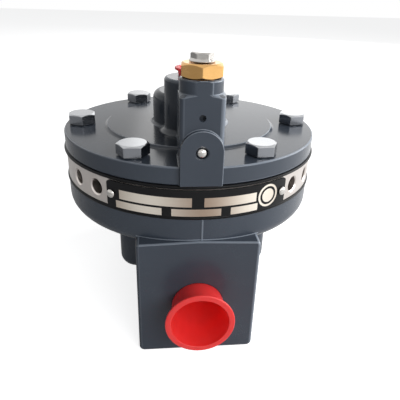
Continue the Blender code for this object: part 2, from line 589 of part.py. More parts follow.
def upper_casing(material):
    foot = FLANGE_TOP + PLATEAU_HEIGHT
    profile = [(0, FLANGE_BOTTOM), (FLANGE_RADIUS, FLANGE_BOTTOM)]
    profile += arc((FLANGE_RADIUS - FLANGE_EDGE, FLANGE_TOP - FLANGE_EDGE), FLANGE_EDGE, 0, 90, 2)
    profile += [(PLATEAU_RADIUS + PLATEAU_HEIGHT, FLANGE_TOP), (PLATEAU_RADIUS, foot), (0, foot)]
    body = add_object("upper_casing", revolve(profile, LARGE_FACETS), material)

    dome = [(0, FLANGE_TOP), (DOME_RADIUS + DOME_FOOT, FLANGE_TOP)]
    dome += arc((DOME_RADIUS + DOME_FOOT, foot + DOME_FOOT), DOME_FOOT, 270, 180, 2)
    dome += arc((DOME_RADIUS - DOME_ROUND, DOME_TOP - DOME_ROUND), DOME_ROUND, 0, 90, 3)
    dome += [(0, DOME_TOP)]
    fuse(body, "dome", revolve(dome, MEDIUM_FACETS + 8))

    boss = [(0, FLANGE_BOTTOM + EMBED), (INPUT_BOSS_RADIUS, FLANGE_BOTTOM + EMBED)]
    edge_centre = (INPUT_BOSS_RADIUS - INPUT_BOSS_EDGE, INPUT_FACE - INPUT_BOSS_EDGE)
    boss += arc(edge_centre, INPUT_BOSS_EDGE, 0, 90, 2)
    boss += [(0, INPUT_FACE)]
    fuse(body, "input_boss", moved(revolve(boss, MEDIUM_FACETS), (0, -INPUT_OFFSET, 0)))
    web_half = TOWER_HALF_WIDTH - GAP
    fuse(body, "web", box((-web_half, -TOWER_OFFSET, FLANGE_BOTTOM + EMBED),
                          (web_half, -INPUT_OFFSET, FLANGE_TOP + WEB_HEIGHT)))
    combine(body, tower_form(), "UNION")
    fuse(body, "lug", lug_form())

    hollow_radius = DOME_RADIUS - DOME_WALL
    hollow = [(0, FLANGE_BOTTOM - OVERRUN), (CHAMBER_RADIUS, FLANGE_BOTTOM - OVERRUN),
              (CHAMBER_RADIUS, UPPER_CHAMBER_CEILING), (hollow_radius, UPPER_CHAMBER_CEILING),
              (hollow_radius, DOME_CEILING), (0, DOME_CEILING)]
    cut(body, "hollow_cut", bore(hollow, LARGE_FACETS // 2))
    port = port_cutter(INPUT_MOUTH_RADIUS, INPUT_RADIUS, INPUT_TAPER_LENGTH, INPUT_CHAMFER,
                       INPUT_FACE - UPPER_CHAMBER_CEILING + OVERRUN)
    cut(body, "input_port_cut", moved(port, INPUT_AXIS))
    slope = (CROSS_MOUTH_RADIUS - CROSS_RADIUS) / CROSS_MOUTH_DEPTH
    cross = [(0, OVERRUN), (CROSS_MOUTH_RADIUS + slope * OVERRUN, OVERRUN),
             (CROSS_RADIUS, -CROSS_MOUTH_DEPTH), (CROSS_RADIUS, INPUT_OFFSET - LUG_FACE),
             (0, INPUT_OFFSET - LUG_FACE)]
    cut(body, "cross_cut", moved(bore(cross, FINE_FACETS), (0, -LUG_FACE, CROSS_HEIGHT), FORWARD))
    seat = FLANGE_TOP + NEEDLE_SEAT_HEIGHT
    spigot_hole = SPIGOT_RADIUS + GAP
    spigot_end = NECK_TOP - SPIGOT_LENGTH - GAP
    needle = [(0, FLANGE_BOTTOM - OVERRUN), (BYPASS_RADIUS, FLANGE_BOTTOM - OVERRUN), (BYPASS_RADIUS, seat),
              (NEEDLE_BORE_RADIUS, seat), (NEEDLE_BORE_RADIUS, spigot_end), (spigot_hole, spigot_end),
              (spigot_hole, NECK_TOP + OVERRUN), (0, NECK_TOP + OVERRUN)]
    cut(body, "needle_bore_cut", moved(bore(needle, MEDIUM_FACETS), (0, -TOWER_OFFSET, 0)))
    blind = drill(POCKET_HOLE_RADIUS, -POCKET_HOLE_DEPTH, OVERRUN, FINE_FACETS)
    hole_place = (0, -TOWER_OFFSET - TOWER_HALF_WIDTH, FLANGE_TOP + POCKET_HOLE_HEIGHT)
    cut(body, "tower_hole_cut", moved(blind, hole_place, FORWARD))
    holes = [moved(drill(SCREW_HOLE_RADIUS, FLANGE_BOTTOM - OVERRUN, FLANGE_TOP + OVERRUN, SMALL_FACETS),
                   (x, y, 0)) for x, y in screw_places()]
    cut(body, "flange_hole_cut", merged(holes))


def cap_screws(material):
    bottom = FLANGE_TOP + GAP
    top = bottom + SCREW_HEAD_HEIGHT
    face = HEX_FACE_SHARE * SCREW_FLATS / 2
    for i, (x, y) in enumerate(screw_places()):
        bm = lofted([circle_at(SCREW_RADIUS, RIM_TOP - SCREW_DEPTH), circle_at(SCREW_RADIUS, bottom),
                     hexagon_at(SCREW_FLATS, bottom), hexagon_at(SCREW_FLATS, top, face),
                     circle_at(face, top)], HEX_FACETS // 2)
        turn = Matrix.Rotation(-math.radians(SCREW_TURNS[i]), 3, "Z")
        add_object("cap_screw_%d" % (i + 1), moved(bm, (x, y, 0), turn), material, (x, y, bottom), 20)


def bypass_bonnet(material):
    hole = NEEDLE_THREAD_RADIUS + GAP
    face = HEX_FACE_SHARE * BONNET_FLATS / 2
    bottom = NECK_TOP - SPIGOT_LENGTH
    sections = [circle_at(hole, bottom), circle_at(SPIGOT_RADIUS, bottom),
                circle_at(SPIGOT_RADIUS, BONNET_BOTTOM), hexagon_at(BONNET_FLATS, BONNET_BOTTOM),
                hexagon_at(BONNET_FLATS, BONNET_TOP, face), circle_at(face, BONNET_TOP),
                circle_at(hole, BONNET_TOP)]
    bm = lofted(sections, HEX_FACETS, closed=True)
    turn = Matrix.Rotation(-math.radians(BONNET_TURN), 3, "Z")
    add_object("bypass_bonnet", moved(bm, (0, -TOWER_OFFSET, 0), turn), material, NEEDLE_AXIS, 20)


def bypass_needle(steel, rubber):
    seat = FLANGE_TOP + NEEDLE_SEAT_HEIGHT
    tip = seat - GAP
    shoulder = tip + NEEDLE_CONE_LENGTH
    body_top = FLANGE_TOP + NEEDLE_BODY_TOP
    seal = FLANGE_TOP + SEAL_HEIGHT
    seal_centre = NEEDLE_BORE_RADIUS - GAP - SEAL_SECTION
    groove = seal_centre - SEAL_SECTION - GAP
    half = SEAL_SECTION + GAP
    collar = BONNET_TOP + GAP
    face = NEEDLE_FACE_SHARE * NEEDLE_FLATS / 2
    rings = [(NEEDLE_TIP_RADIUS, tip), (NEEDLE_BODY_RADIUS - 2 * GAP, shoulder),
             (NEEDLE_BODY_RADIUS, shoulder), (NEEDLE_BODY_RADIUS, seal - half), (groove, seal - half),
             (groove, seal + half), (NEEDLE_BODY_RADIUS, seal + half), (NEEDLE_BODY_RADIUS, body_top),
             (NEEDLE_THREAD_RADIUS, body_top), (NEEDLE_THREAD_RADIUS, collar), (NEEDLE_COLLAR_RADIUS, collar),
             (NEEDLE_COLLAR_RADIUS, collar + NEEDLE_COLLAR_HEIGHT / 2)]
    sections = [circle_at(radius, height) for radius, height in rings]
    sections += [hexagon_at(NEEDLE_FLATS, collar + NEEDLE_COLLAR_HEIGHT),
                 hexagon_at(NEEDLE_FLATS, collar + NEEDLE_HEAD_HEIGHT, face),
                 circle_at(face, collar + NEEDLE_HEAD_HEIGHT)]
    turn = Matrix.Rotation(-math.radians(NEEDLE_TURN), 3, "Z")
    bm = moved(lofted(sections, HEX_FACETS), (0, -TOWER_OFFSET, 0), turn)
    add_object("bypass_screw", bm, steel, NEEDLE_AXIS, 20)
    ring = arc((seal_centre, seal), SEAL_SECTION, 0, 300, 5)
    bm = moved(revolve(ring, SMALL_FACETS), (0, -TOWER_OFFSET, 0))
    add_object("bypass_o_ring", bm, rubber, NEEDLE_AXIS)


def ball_plug(material):
    bm = bmesh.new()
    bmesh.ops.create_uvsphere(bm, u_segments=FINE_FACETS, v_segments=8, radius=BALL_RADIUS)
    place = (0, -LUG_FACE + BALL_DEPTH, CROSS_HEIGHT)
    add_object("passage_ball", moved(bm, place), material, place)


def nameplate(material):
    inner = RING_RADIUS + GAP
    outer = inner + NAMEPLATE_THICKNESS
    low = RING_BOTTOM + NAMEPLATE_MARGIN
    high = RING_TOP - NAMEPLATE_MARGIN
    profile = [(inner, low), (outer, low), (outer, high), (inner, high)]
    bm = revolve(profile, 30, 2 * PLATE_HALF_ANGLE, -90 - PLATE_HALF_ANGLE)
    body = add_object("nameplate", bm, material)
    cut(body, "plate_pin_cut", pin_holes(inner - OVERRUN, outer + OVERRUN))


def drive_screws(material):
    # Round heads that hold the nameplate's ends.
    seat = RING_RADIUS + NAMEPLATE_THICKNESS + 2 * GAP
    end = RING_RADIUS - DRIVE_PIN_LENGTH
    dome = [(0, end), (DRIVE_PIN_RADIUS, end), (DRIVE_PIN_RADIUS, seat), (DRIVE_HEAD_RADIUS, seat),
            (DRIVE_SHOULDER * DRIVE_HEAD_RADIUS, seat + DRIVE_SHOULDER_RISE * DRIVE_HEAD_HEIGHT),
            (0, seat + DRIVE_HEAD_HEIGHT)]
    for side, name in ((-1, "drive_screw_left"), (1, "drive_screw_right")):
        add_object(name, aimed(revolve(dome, FINE_FACETS), side * DRIVE_SCREW_ANGLE), material)


def diaphragm_hub(material):
    nose_end = EXHAUST_SEAT_TOP - EXHAUST_SEAT_HEIGHT + EXHAUST_LIP_HEIGHT + LIP_WIDTH + GAP
    stud_top = UPPER_PLATE_TOP + GAP + HUB_NUT_HEIGHT + GAP
    roof = RING_TOP - HUB_ROOF
    low_flange = RING_BOTTOM + HUB_FLANGE_THICKNESS
    high_flange = RING_TOP - HUB_FLANGE_THICKNESS
    profile = [(HUB_BORE_RADIUS, nose_end), (HUB_NOSE_RADIUS, nose_end), (HUB_NOSE_RADIUS, RING_BOTTOM),
               (HUB_RADIUS, RING_BOTTOM), (HUB_RADIUS, low_flange), (HUB_WAIST_RADIUS, low_flange),
               (HUB_WAIST_RADIUS, high_flange), (HUB_RADIUS, high_flange), (HUB_RADIUS, RING_TOP),
               (STUD_RADIUS, RING_TOP), (STUD_RADIUS, stud_top), (0, stud_top)]
    profile = [(0, roof), (HUB_BORE_RADIUS, roof)] + profile
    body = add_object("diaphragm_hub", revolve(profile, MEDIUM_FACETS), material)
    ports = []
    for i in range(HUB_PORT_COUNT):
        port = drill(HUB_PORT_RADIUS, HUB_BORE_RADIUS / 2, HUB_RADIUS, FINE_FACETS)
        aim = Matrix.Rotation(2 * math.pi * (i + 0.5) / HUB_PORT_COUNT, 3, "Z") @ FORWARD
        ports.append(moved(port, (0, 0, (low_flange + high_flange) / 2), aim))
    for i, port in enumerate(ports):
        cut(body, "hub_port_cut_%d" % i, port)


def diaphragm_plates(material):
    edge = PLATE_EDGE
    hole = STUD_RADIUS + GAP
    low, high = FLANGE_BOTTOM, UPPER_PLATE_TOP
    profile = [(hole, low), (PLATE_RADIUS - edge, low), (PLATE_RADIUS, low + edge), (PLATE_RADIUS, high),
               (hole, high)]
    add_object("upper_diaphragm_plate", revolve(profile, LARGE_FACETS // 2), material)
    hole = HUB_NOSE_RADIUS + GAP
    low, high = LOWER_PLATE_BOTTOM, RIM_TOP
    profile = [(hole, low), (PLATE_RADIUS, low), (PLATE_RADIUS, high - edge), (PLATE_RADIUS - edge, high),
               (hole, high)]
    add_object("lower_diaphragm_plate", revolve(profile, LARGE_FACETS // 2), material)


def hub_nut(material):
    low = UPPER_PLATE_TOP + GAP
    high = low + HUB_NUT_HEIGHT
    hole = STUD_RADIUS + GAP
    face = HEX_FACE_SHARE * HUB_NUT_FLATS / 2
    bm = lofted([circle_at(hole, low), hexagon_at(HUB_NUT_FLATS, low), hexagon_at(HUB_NUT_FLATS, high, face),
                 circle_at(face, high), circle_at(hole, high)], HEX_FACETS, closed=True)
    add_object("hub_nut", bm, material)


def exhaust_seat(material):
    # A ring nut on the hub's nose, with the exhaust valve's lip round its orifice.
    thread = HUB_NOSE_RADIUS + GAP
    lip_out = HUB_BORE_RADIUS + LIP_WIDTH
    web_low = EXHAUST_LIP + EXHAUST_LIP_HEIGHT
    web_high = web_low + LIP_WIDTH
    profile = [(HUB_BORE_RADIUS, EXHAUST_LIP), (lip_out, EXHAUST_LIP), (lip_out, web_low),
               (EXHAUST_SEAT_RADIUS, web_low), (EXHAUST_SEAT_RADIUS, EXHAUST_SEAT_TOP),
               (thread, EXHAUST_SEAT_TOP), (thread, web_high), (HUB_BORE_RADIUS, web_high)]
    add_object("exhaust_seat", revolve(profile, MEDIUM_FACETS), material)


def supply_seat(material, rubber):
    # A ring screwed into the pocket: the supply valve's lip is on its underside, a seal below its shoulder.
    outer = SEAT_BORE_RADIUS - GAP
    low = SEAT_LEDGE + GAP
    high = low + SEAT_OUTER_HEIGHT
    lip = SEAT_LEDGE - EXHAUST_LIP_HEIGHT
    lip_out = SEAT_ORIFICE_RADIUS + LIP_WIDTH
    seal_centre = (POCKET_RADIUS + SEAT_BORE_RADIUS) / 2
    groove = SEAT_SEAL_SECTION + GAP
    groove_top = low + 2 * SEAT_SEAL_SECTION
    profile = [(SEAT_ORIFICE_RADIUS, lip), (lip_out, lip), (lip_out, low), (seal_centre - groove, low),
               (seal_centre - groove, groove_top), (outer, groove_top), (outer, high),
               (SEAT_ORIFICE_RADIUS + 2 * LIP_WIDTH, high), (SEAT_ORIFICE_RADIUS, high - 2 * LIP_WIDTH)]
    body = add_object("supply_seat", revolve(profile, MEDIUM_FACETS), material)
    slot = LIP_WIDTH
    cut(body, "driver_slot_cut", box((-2 * outer, -slot, high - 2 * slot), (2 * outer, slot, high + OVERRUN)))
    seal_height = SEAT_LEDGE + GAP + SEAT_SEAL_SECTION - GAP / 2
    ring = arc((seal_centre, seal_height), SEAT_SEAL_SECTION - GAP / 2, 0, 300, 5)
    add_object("seat_o_ring", revolve(ring, MEDIUM_FACETS), rubber)


def valve(steel, rubber):
    foot = POCKET_FLOOR - GUIDE_DEPTH + STEM_FOOT_CLEARANCE
    neck = SUPPLY_DISC_TOP + GAP
    washer_hole = STEM_RADIUS + GAP
    stem_top = EXHAUST_PLUG_BOTTOM - GAP
    profile = [(0, foot), (STEM_RADIUS, foot), (STEM_RADIUS, CARRIER_BOTTOM),
               (SUPPLY_DISC_RADIUS, CARRIER_BOTTOM), (SUPPLY_DISC_RADIUS, CARRIER_TOP),
               (STEM_RADIUS, CARRIER_TOP), (STEM_RADIUS, stem_top), (0, stem_top)]
    add_object("valve_stem", revolve(profile, SMALL_FACETS), steel)
    disc = [(washer_hole, SUPPLY_DISC_BOTTOM), (SUPPLY_DISC_RADIUS, SUPPLY_DISC_BOTTOM),
            (SUPPLY_DISC_RADIUS, SUPPLY_DISC_TOP), (washer_hole, SUPPLY_DISC_TOP)]
    add_object("supply_valve_disc", revolve(disc, SMALL_FACETS + 4), rubber)
    retainer = [(washer_hole, neck), (SEAT_ORIFICE_RADIUS - 2 * LIP_WIDTH, neck),
                (SEAT_ORIFICE_RADIUS - 3 * LIP_WIDTH, neck + 2 * LIP_WIDTH),
                (washer_hole, neck + 2 * LIP_WIDTH)]
    add_object("disc_retainer", revolve(retainer, SMALL_FACETS), steel)
    plug = [(0, EXHAUST_PLUG_BOTTOM), (EXHAUST_PLUG_RADIUS, EXHAUST_PLUG_BOTTOM),
            (EXHAUST_PLUG_RADIUS, EXHAUST_PLUG_TOP), (0, EXHAUST_PLUG_TOP)]
    add_object("exhaust_valve_plug", revolve(plug, SMALL_FACETS + 4), rubber)


def cap(name, material, axis, rotation, standoff, rim, neck, face_radius, inner, depth):
    # A thin tapered cup, its mouth and rim outwards, pushed into a port.
    plug_end = inner - GAP
    rim_low = standoff - CAP_RIM_THICKNESS
    mouth = neck - CAP_WALL
    inside_face = face_radius - CAP_WALL
    inside_end = plug_end - CAP_WALL
    profile = [(0, -depth), (plug_end, -depth), (face_radius, 0), (neck, rim_low), (rim, rim_low),
               (rim, standoff), (mouth, standoff), (inside_face, 0),
               (inside_end, CAP_WALL - depth), (0, CAP_WALL - depth)]
    bm = moved(revolve(profile, MEDIUM_FACETS), axis, rotation)
    add_object(name, bm, material, axis)


def build():
    clear_scene()
    paint = principled("casting_paint", (0.045, 0.055, 0.07), 0.28, 0.15)
    ring_metal = principled("ring_aluminium", (0.62, 0.60, 0.58), 0.32, 1.0)
    zinc = principled("zinc_plate", (0.70, 0.72, 0.73), 0.22, 1.0)
    steel = principled("machined_steel", (0.62, 0.61, 0.58), 0.25, 1.0)
    brass = principled("brass", (0.75, 0.50, 0.20), 0.25, 1.0)
    rubber = principled("black_rubber", (0.02, 0.02, 0.02), 0.6, 0.0)
    plate_black = principled("nameplate_black", (0.02, 0.02, 0.022), 0.35, 0.3)
    red = principled("cap_red", (0.80, 0.03, 0.03), 0.35, 0.0)
    spring_steel = principled("spring_steel", (0.45, 0.45, 0.46), 0.3, 1.0)

    lower_casing(paint)
    diaphragm("lower_diaphragm", LOWER_DIAPHRAGM_BOTTOM, 1, HUB_NOSE_RADIUS + GAP, rubber)
    exhaust_ring(ring_metal)
    diaphragm("upper_diaphragm", UPPER_DIAPHRAGM_BOTTOM, -1, STUD_RADIUS + GAP, rubber)
    upper_casing(paint)
    cap_screws(zinc)
    bypass_bonnet(brass)
    bypass_needle(steel, rubber)
    ball_plug(steel)
    nameplate(plate_black)
    drive_screws(steel)
    diaphragm_hub(ring_metal)
    diaphragm_plates(ring_metal)
    hub_nut(zinc)
    exhaust_seat(brass)
    supply_seat(brass, rubber)
    valve(steel, rubber)
    coil("valve_spring", VALVE_SPRING_RADIUS, VALVE_SPRING_WIRE, POCKET_FLOOR, CARRIER_BOTTOM,
         VALVE_SPRING_TURNS, spring_steel, (0, 0, 0))
    coil("bias_spring", BIAS_SPRING_RADIUS, BIAS_SPRING_WIRE, UPPER_PLATE_TOP, DOME_CEILING,
         BIAS_SPRING_TURNS, spring_steel, (0, 0, 0))
    cap("output_port_cap", red, OUTPUT_AXIS, FORWARD, CAP_STANDOFF, CAP_RIM_RADIUS, CAP_NECK_RADIUS,
        PORT_MOUTH_RADIUS - GAP, PORT_RADIUS, CAP_DEPTH)
    cap("supply_port_cap", red, SUPPLY_AXIS, BACKWARD, CAP_STANDOFF, CAP_RIM_RADIUS, CAP_NECK_RADIUS,
        PORT_MOUTH_RADIUS - GAP, PORT_RADIUS, CAP_DEPTH)
    cap("input_port_cap", red, INPUT_AXIS, None, INPUT_CAP_STANDOFF, INPUT_CAP_RIM_RADIUS,
        INPUT_CAP_NECK_RADIUS, INPUT_MOUTH_RADIUS - GAP, INPUT_RADIUS, INPUT_CAP_DEPTH)


build()
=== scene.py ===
import math
import bmesh
import bpy
from mathutils import Matrix, Vector


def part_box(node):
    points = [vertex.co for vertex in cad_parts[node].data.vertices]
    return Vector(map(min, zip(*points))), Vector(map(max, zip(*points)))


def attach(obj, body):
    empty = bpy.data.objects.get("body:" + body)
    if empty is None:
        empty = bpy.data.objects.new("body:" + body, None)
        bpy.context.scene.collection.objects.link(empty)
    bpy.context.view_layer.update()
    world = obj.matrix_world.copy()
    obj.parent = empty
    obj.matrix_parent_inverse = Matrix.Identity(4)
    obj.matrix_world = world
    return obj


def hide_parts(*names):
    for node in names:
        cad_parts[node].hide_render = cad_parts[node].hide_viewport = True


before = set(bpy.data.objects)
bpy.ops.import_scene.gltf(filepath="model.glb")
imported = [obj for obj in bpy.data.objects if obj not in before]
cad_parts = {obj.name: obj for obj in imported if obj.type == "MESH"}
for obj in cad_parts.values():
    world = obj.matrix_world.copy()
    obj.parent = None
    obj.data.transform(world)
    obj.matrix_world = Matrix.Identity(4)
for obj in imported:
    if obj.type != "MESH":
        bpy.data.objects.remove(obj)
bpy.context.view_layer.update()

mm = 0.001

frameSizes = {  # millimetres that the nodes' boxes don't give
    "headHeight": 5.3, "gap": 0.3, "towerLine": -55.1, "portFace": 65.0,
    "screwHole": 4.25, "bypassHole": 1.6, "pinHole": 1.2, "pinAngle": 35.6,
}

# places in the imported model, in metres
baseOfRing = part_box("exhaust_ring")[0].z
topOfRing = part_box("exhaust_ring")[1].z
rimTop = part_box("lower_casing")[1].z
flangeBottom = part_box("upper_casing")[0].z
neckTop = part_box("upper_casing")[1].z
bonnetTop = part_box("bypass_bonnet")[1].z
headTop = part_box("cap_screw_1")[1].z
headBottom = headTop - frameSizes["headHeight"] * mm
flangeTop = headBottom - frameSizes["gap"] * mm
towerLine = frameSizes["towerLine"] * mm                # the bypass needle's axis, in front of the casing's
portHeight = (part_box("output_port_cap")[0].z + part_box("output_port_cap")[1].z) / 2
portFace = frameSizes["portFace"] * mm
inputLine = (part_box("input_port_cap")[0].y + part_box("input_port_cap")[1].y) / 2
ringMiddle = (baseOfRing + topOfRing) / 2

toFront = Matrix.Rotation(math.radians(90), 3, "X")     # +Z to -Y
toBack = Matrix.Rotation(math.radians(-90), 3, "X")     # +Z to +Y


# camera, floor and light

camera = {
    "target": (6.93 * mm, 0.0, 49.92 * mm), "distance": 252.54 * mm,
    "azimuth": -6.36, "elevation": 26.1, "roll": 1.79, "lens": 39.12,
}
studio = {
    "floorSize": 6.0, "floorDrop": 0.2 * mm, "floorColour": (0.85, 0.85, 0.85), "floorGlow": 0.80,
    "mirrorLeft": 0.08, "mirrorRight": 0.48,            # how bright a floor the metal and the paint reflect
    "mirrorStart": -0.05, "mirrorWidth": 0.20, "mirrorSlant": 0.3,
    "skyColour": (0.93, 0.96, 1.0), "skyLevel": 0.10, "lampTarget": (0.0, 0.0, 0.06),
    "lamps": [  # name, place, width, height, energy
        ("keyLamp", (1.10, 0.10, 0.45), 1.10, 1.10, 12.0),
        ("windowLamp", (0.45, 1.20, 0.62), 1.20, 1.20, 3.0),
        ("frontLamp", (0.45, -0.85, 0.60), 1.20, 0.35, 7.5),
    ],
}


def makeCamera():
    az, el = math.radians(camera["azimuth"]), math.radians(camera["elevation"])
    back = Vector((math.sin(az) * math.cos(el), -math.cos(az) * math.cos(el), math.sin(el)))
    data = bpy.data.cameras.new("photoCamera")
    data.lens = camera["lens"]
    data.sensor_width = 36.0
    data.clip_start = 0.01
    data.clip_end = 50.0
    eye = bpy.data.objects.new("photoCamera", data)
    turn = (-back).to_track_quat("-Z", "Y").to_matrix()
    roll = Matrix.Rotation(math.radians(camera["roll"]), 3, "Z")
    place = Matrix.Translation(Vector(camera["target"]) + back * camera["distance"])
    eye.matrix_world = place @ (turn @ roll).to_4x4()
    bpy.context.scene.collection.objects.link(eye)
    bpy.context.scene.camera = eye


class Wire:  # an output of a shader node, which takes part in sums
    def __init__(self, finish, socket):
        self.finish = finish
        self.socket = socket

    def maths(self, operation, *others):
        return self.finish.add("ShaderNodeMath", {"operation": operation}, dict(enumerate((self, *others))))

    def __add__(self, other):
        return self.maths("ADD", other)

    def __sub__(self, other):
        return self.maths("SUBTRACT", other)

    def __rsub__(self, other):
        return self.finish.fixed(other).maths("SUBTRACT", self)

    def __mul__(self, other):
        return self.maths("MULTIPLY", other)

    def __truediv__(self, other):
        return self.maths("DIVIDE", other)

    def __gt__(self, other):
        return self.maths("GREATER_THAN", other)

    def __lt__(self, other):
        return self.maths("LESS_THAN", other)

    def smaller(self, other):
        return self.maths("MINIMUM", other)

    def larger(self, other):
        return self.maths("MAXIMUM", other)

    def within(self, low, high):
        return (self > low) * (self < high)

    __radd__ = __add__
    __rmul__ = __mul__


class Finish:  # a Principled material and the nodes that feed it
    def __init__(self, name, **settings):
        self.material = bpy.data.materials.new(name)
        self.material.use_nodes = True
        self.tree = self.material.node_tree
        self.shader = self.tree.nodes["Principled BSDF"]
        self.place = self.add("ShaderNodeTexCoord", {}, {}, "Object")
        for socket, value in settings.items():
            self.feed(self.shader.inputs[socket.replace("_", " ")], value)

    def feed(self, socket, value):
        if isinstance(value, Wire):
            self.tree.links.new(value.socket, socket)
        elif isinstance(value, tuple) and len(value) == 3 and socket.type == "RGBA":
            socket.default_value = (*value, 1.0)
        else:
            socket.default_value = value

    def add(self, kind, settings, values, output=0):
        node = self.tree.nodes.new(kind)
        for key, value in settings.items():
            setattr(node, key, value)
        for key, value in values.items():
            self.feed(node.inputs[key], value)
        return Wire(self, node.outputs[output])

    def fixed(self, number):
        return self.add("ShaderNodeMath", {"operation": "ADD"}, {0: number, 1: 0.0})

    def stretched(self, scale):
        return self.add("ShaderNodeMapping", {}, {"Vector": self.place, "Scale": scale})

    def noise(self, scale, detail=2.0, roughness=0.5, vector=None):
        values = {"Vector": vector or self.place, "Scale": scale, "Detail": detail, "Roughness": roughness}
        return self.add("ShaderNodeTexNoise", {}, values)

    def axes(self):
        parts = self.add("ShaderNodeSeparateXYZ", {}, {"Vector": self.place})
        node = parts.socket.node
        return [Wire(self, node.outputs[i]) for i in range(3)]

    def mix(self, share, first, second):
        return self.add("ShaderNodeMix", {"data_type": "RGBA"}, {"Factor": share, 6: first, 7: second}, 2)

    def bump(self, height, strength, distance):
        values = {"Height": height, "Strength": strength, "Distance": distance}
        return self.add("ShaderNodeBump", {}, values)

    def set(self, socket, value):
        self.feed(self.shader.inputs[socket], value)


def isRay(tree, *rays):  # 1 for a ray of the kinds named
    path = tree.nodes.new("ShaderNodeLightPath")
    share = path.outputs[rays[0]]
    for ray in rays[1:]:
        larger = tree.nodes.new("ShaderNodeMath")
        larger.operation = "MAXIMUM"
        tree.links.new(share, larger.inputs[0])
        tree.links.new(path.outputs[ray], larger.inputs[1])
        share = larger.outputs[0]
    return share


def makeWorld():
    world = bpy.data.worlds.new("studioWorld")
    bpy.context.scene.world = world
    world.use_nodes = True
    tree = world.node_tree
    light = tree.nodes["Background"]
    light.inputs["Color"].default_value = (*studio["skyColour"], 1.0)
    light.inputs["Strength"].default_value = studio["skyLevel"]
    white = tree.nodes.new("ShaderNodeBackground")
    white.inputs["Color"].default_value = (1.0, 1.0, 1.0, 1.0)
    white.inputs["Strength"].default_value = 1.0
    mix = tree.nodes.new("ShaderNodeMixShader")
    tree.links.new(isRay(tree, "Is Camera Ray", "Is Glossy Ray", "Is Transmission Ray"), mix.inputs[0])
    tree.links.new(light.outputs[0], mix.inputs[1])
    tree.links.new(white.outputs[0], mix.inputs[2])
    tree.links.new(mix.outputs[0], tree.nodes["World Output"].inputs["Surface"])


def makeLamps():
    for name, place, width, height, energy in studio["lamps"]:
        data = bpy.data.lights.new(name, "AREA")
        data.shape = "ELLIPSE"
        data.size = width
        data.size_y = height
        data.energy = energy
        lamp = bpy.data.objects.new(name, data)
        aim = (Vector(studio["lampTarget"]) - Vector(place)).to_track_quat("-Z", "Y")
        lamp.matrix_world = Matrix.Translation(place) @ aim.to_matrix().to_4x4()
        lamp.visible_camera = False
        bpy.context.scene.collection.objects.link(lamp)


def makeFloor():
    bm = bmesh.new()
    bmesh.ops.create_grid(bm, x_segments=1, y_segments=1, size=studio["floorSize"] / 2)
    bmesh.ops.translate(bm, verts=bm.verts, vec=(0.0, 0.0, -studio["floorDrop"]))
    mesh = bpy.data.meshes.new("studioFloor")
    bm.to_mesh(mesh)
    bm.free()
    floor = bpy.data.objects.new("studioFloor", mesh)
    bpy.context.scene.collection.objects.link(floor)
    finish = Finish("studioFloor", Base_Color=studio["floorColour"], Roughness=1.0, Specular_IOR_Level=0.0)
    x, y, z = finish.axes()
    along = x + y * studio["mirrorSlant"] - studio["mirrorStart"]
    across = (along / studio["mirrorWidth"]).larger(0.0).smaller(1.0)
    left, right, glow = ((studio[key],) * 3 for key in ("mirrorLeft", "mirrorRight", "floorGlow"))
    mirrored = finish.mix(across, left, right)
    mirrors = Wire(finish, isRay(finish.tree, "Is Glossy Ray", "Is Transmission Ray"))
    straight = Wire(finish, isRay(finish.tree, "Is Camera Ray"))
    finish.set("Emission Color", finish.mix(straight, finish.mix(mirrors, (0.0, 0.0, 0.0), mirrored), glow))
    finish.set("Emission Strength", 1.0)
    mesh.materials.append(finish.material)


bpy.context.scene.view_settings.view_transform = "Standard"
makeCamera()
makeWorld()
makeLamps()
makeFloor()
print("camera and studio are ready")


# shapes

def arcPoints(centre, radius, start, end, steps):
    points = []
    for i in range(steps + 1):
        angle = math.radians(start + (end - start) * i / steps)
        points.append((centre[0] + radius * math.cos(angle), centre[1] + radius * math.sin(angle)))
    return points


def turned(profile, steps=144, sweep=360.0, start=0.0):  # (radius, height) points about Z, in millimetres
    bm = bmesh.new()
    turn = Matrix.Rotation(math.radians(start), 3, "Z")
    verts = [bm.verts.new(turn @ Vector((r, 0.0, z)) * mm) for r, z in profile]
    edges = [bm.edges.new(pair) for pair in zip(verts, verts[1:])]
    whole = sweep == 360.0
    if profile[0][0] > 0 or not whole:
        edges.append(bm.edges.new((verts[-1], verts[0])))
    if not whole:
        bm.faces.new(verts)
    spun = bmesh.ops.spin(bm, geom=verts + edges, cent=(0, 0, 0), axis=(0, 0, 1),
                          angle=math.radians(sweep), steps=steps, use_merge=whole)
    if not whole:
        bm.faces.new([v for v in spun["geom_last"] if isinstance(v, bmesh.types.BMVert)])
    bmesh.ops.remove_doubles(bm, verts=bm.verts, dist=1e-7)
    bmesh.ops.recalc_face_normals(bm, faces=bm.faces)
    return bm


def rod(radius, low, high, steps=48):
    return turned([(0, low), (radius, low), (radius, high), (0, high)], steps, start=180 / steps)


def slab(outline, depth):  # an outline in XZ, extruded along +Y, in millimetres
    bm = bmesh.new()
    face = bm.faces.new([bm.verts.new((x * mm, 0.0, z * mm)) for x, z in outline])
    made = bmesh.ops.extrude_face_region(bm, geom=[face])
    far = [v for v in made["geom"] if isinstance(v, bmesh.types.BMVert)]
    bmesh.ops.translate(bm, verts=far, vec=(0.0, depth * mm, 0.0))
    bmesh.ops.recalc_face_normals(bm, faces=bm.faces)
    return bm


def brick(low, high):
    bm = bmesh.new()
    bmesh.ops.create_cube(bm, size=mm)
    size = Vector(high) - Vector(low)
    bmesh.ops.scale(bm, verts=bm.verts, vec=size)
    bmesh.ops.translate(bm, verts=bm.verts, vec=(Vector(low) + size / 2) * mm)
    return bm


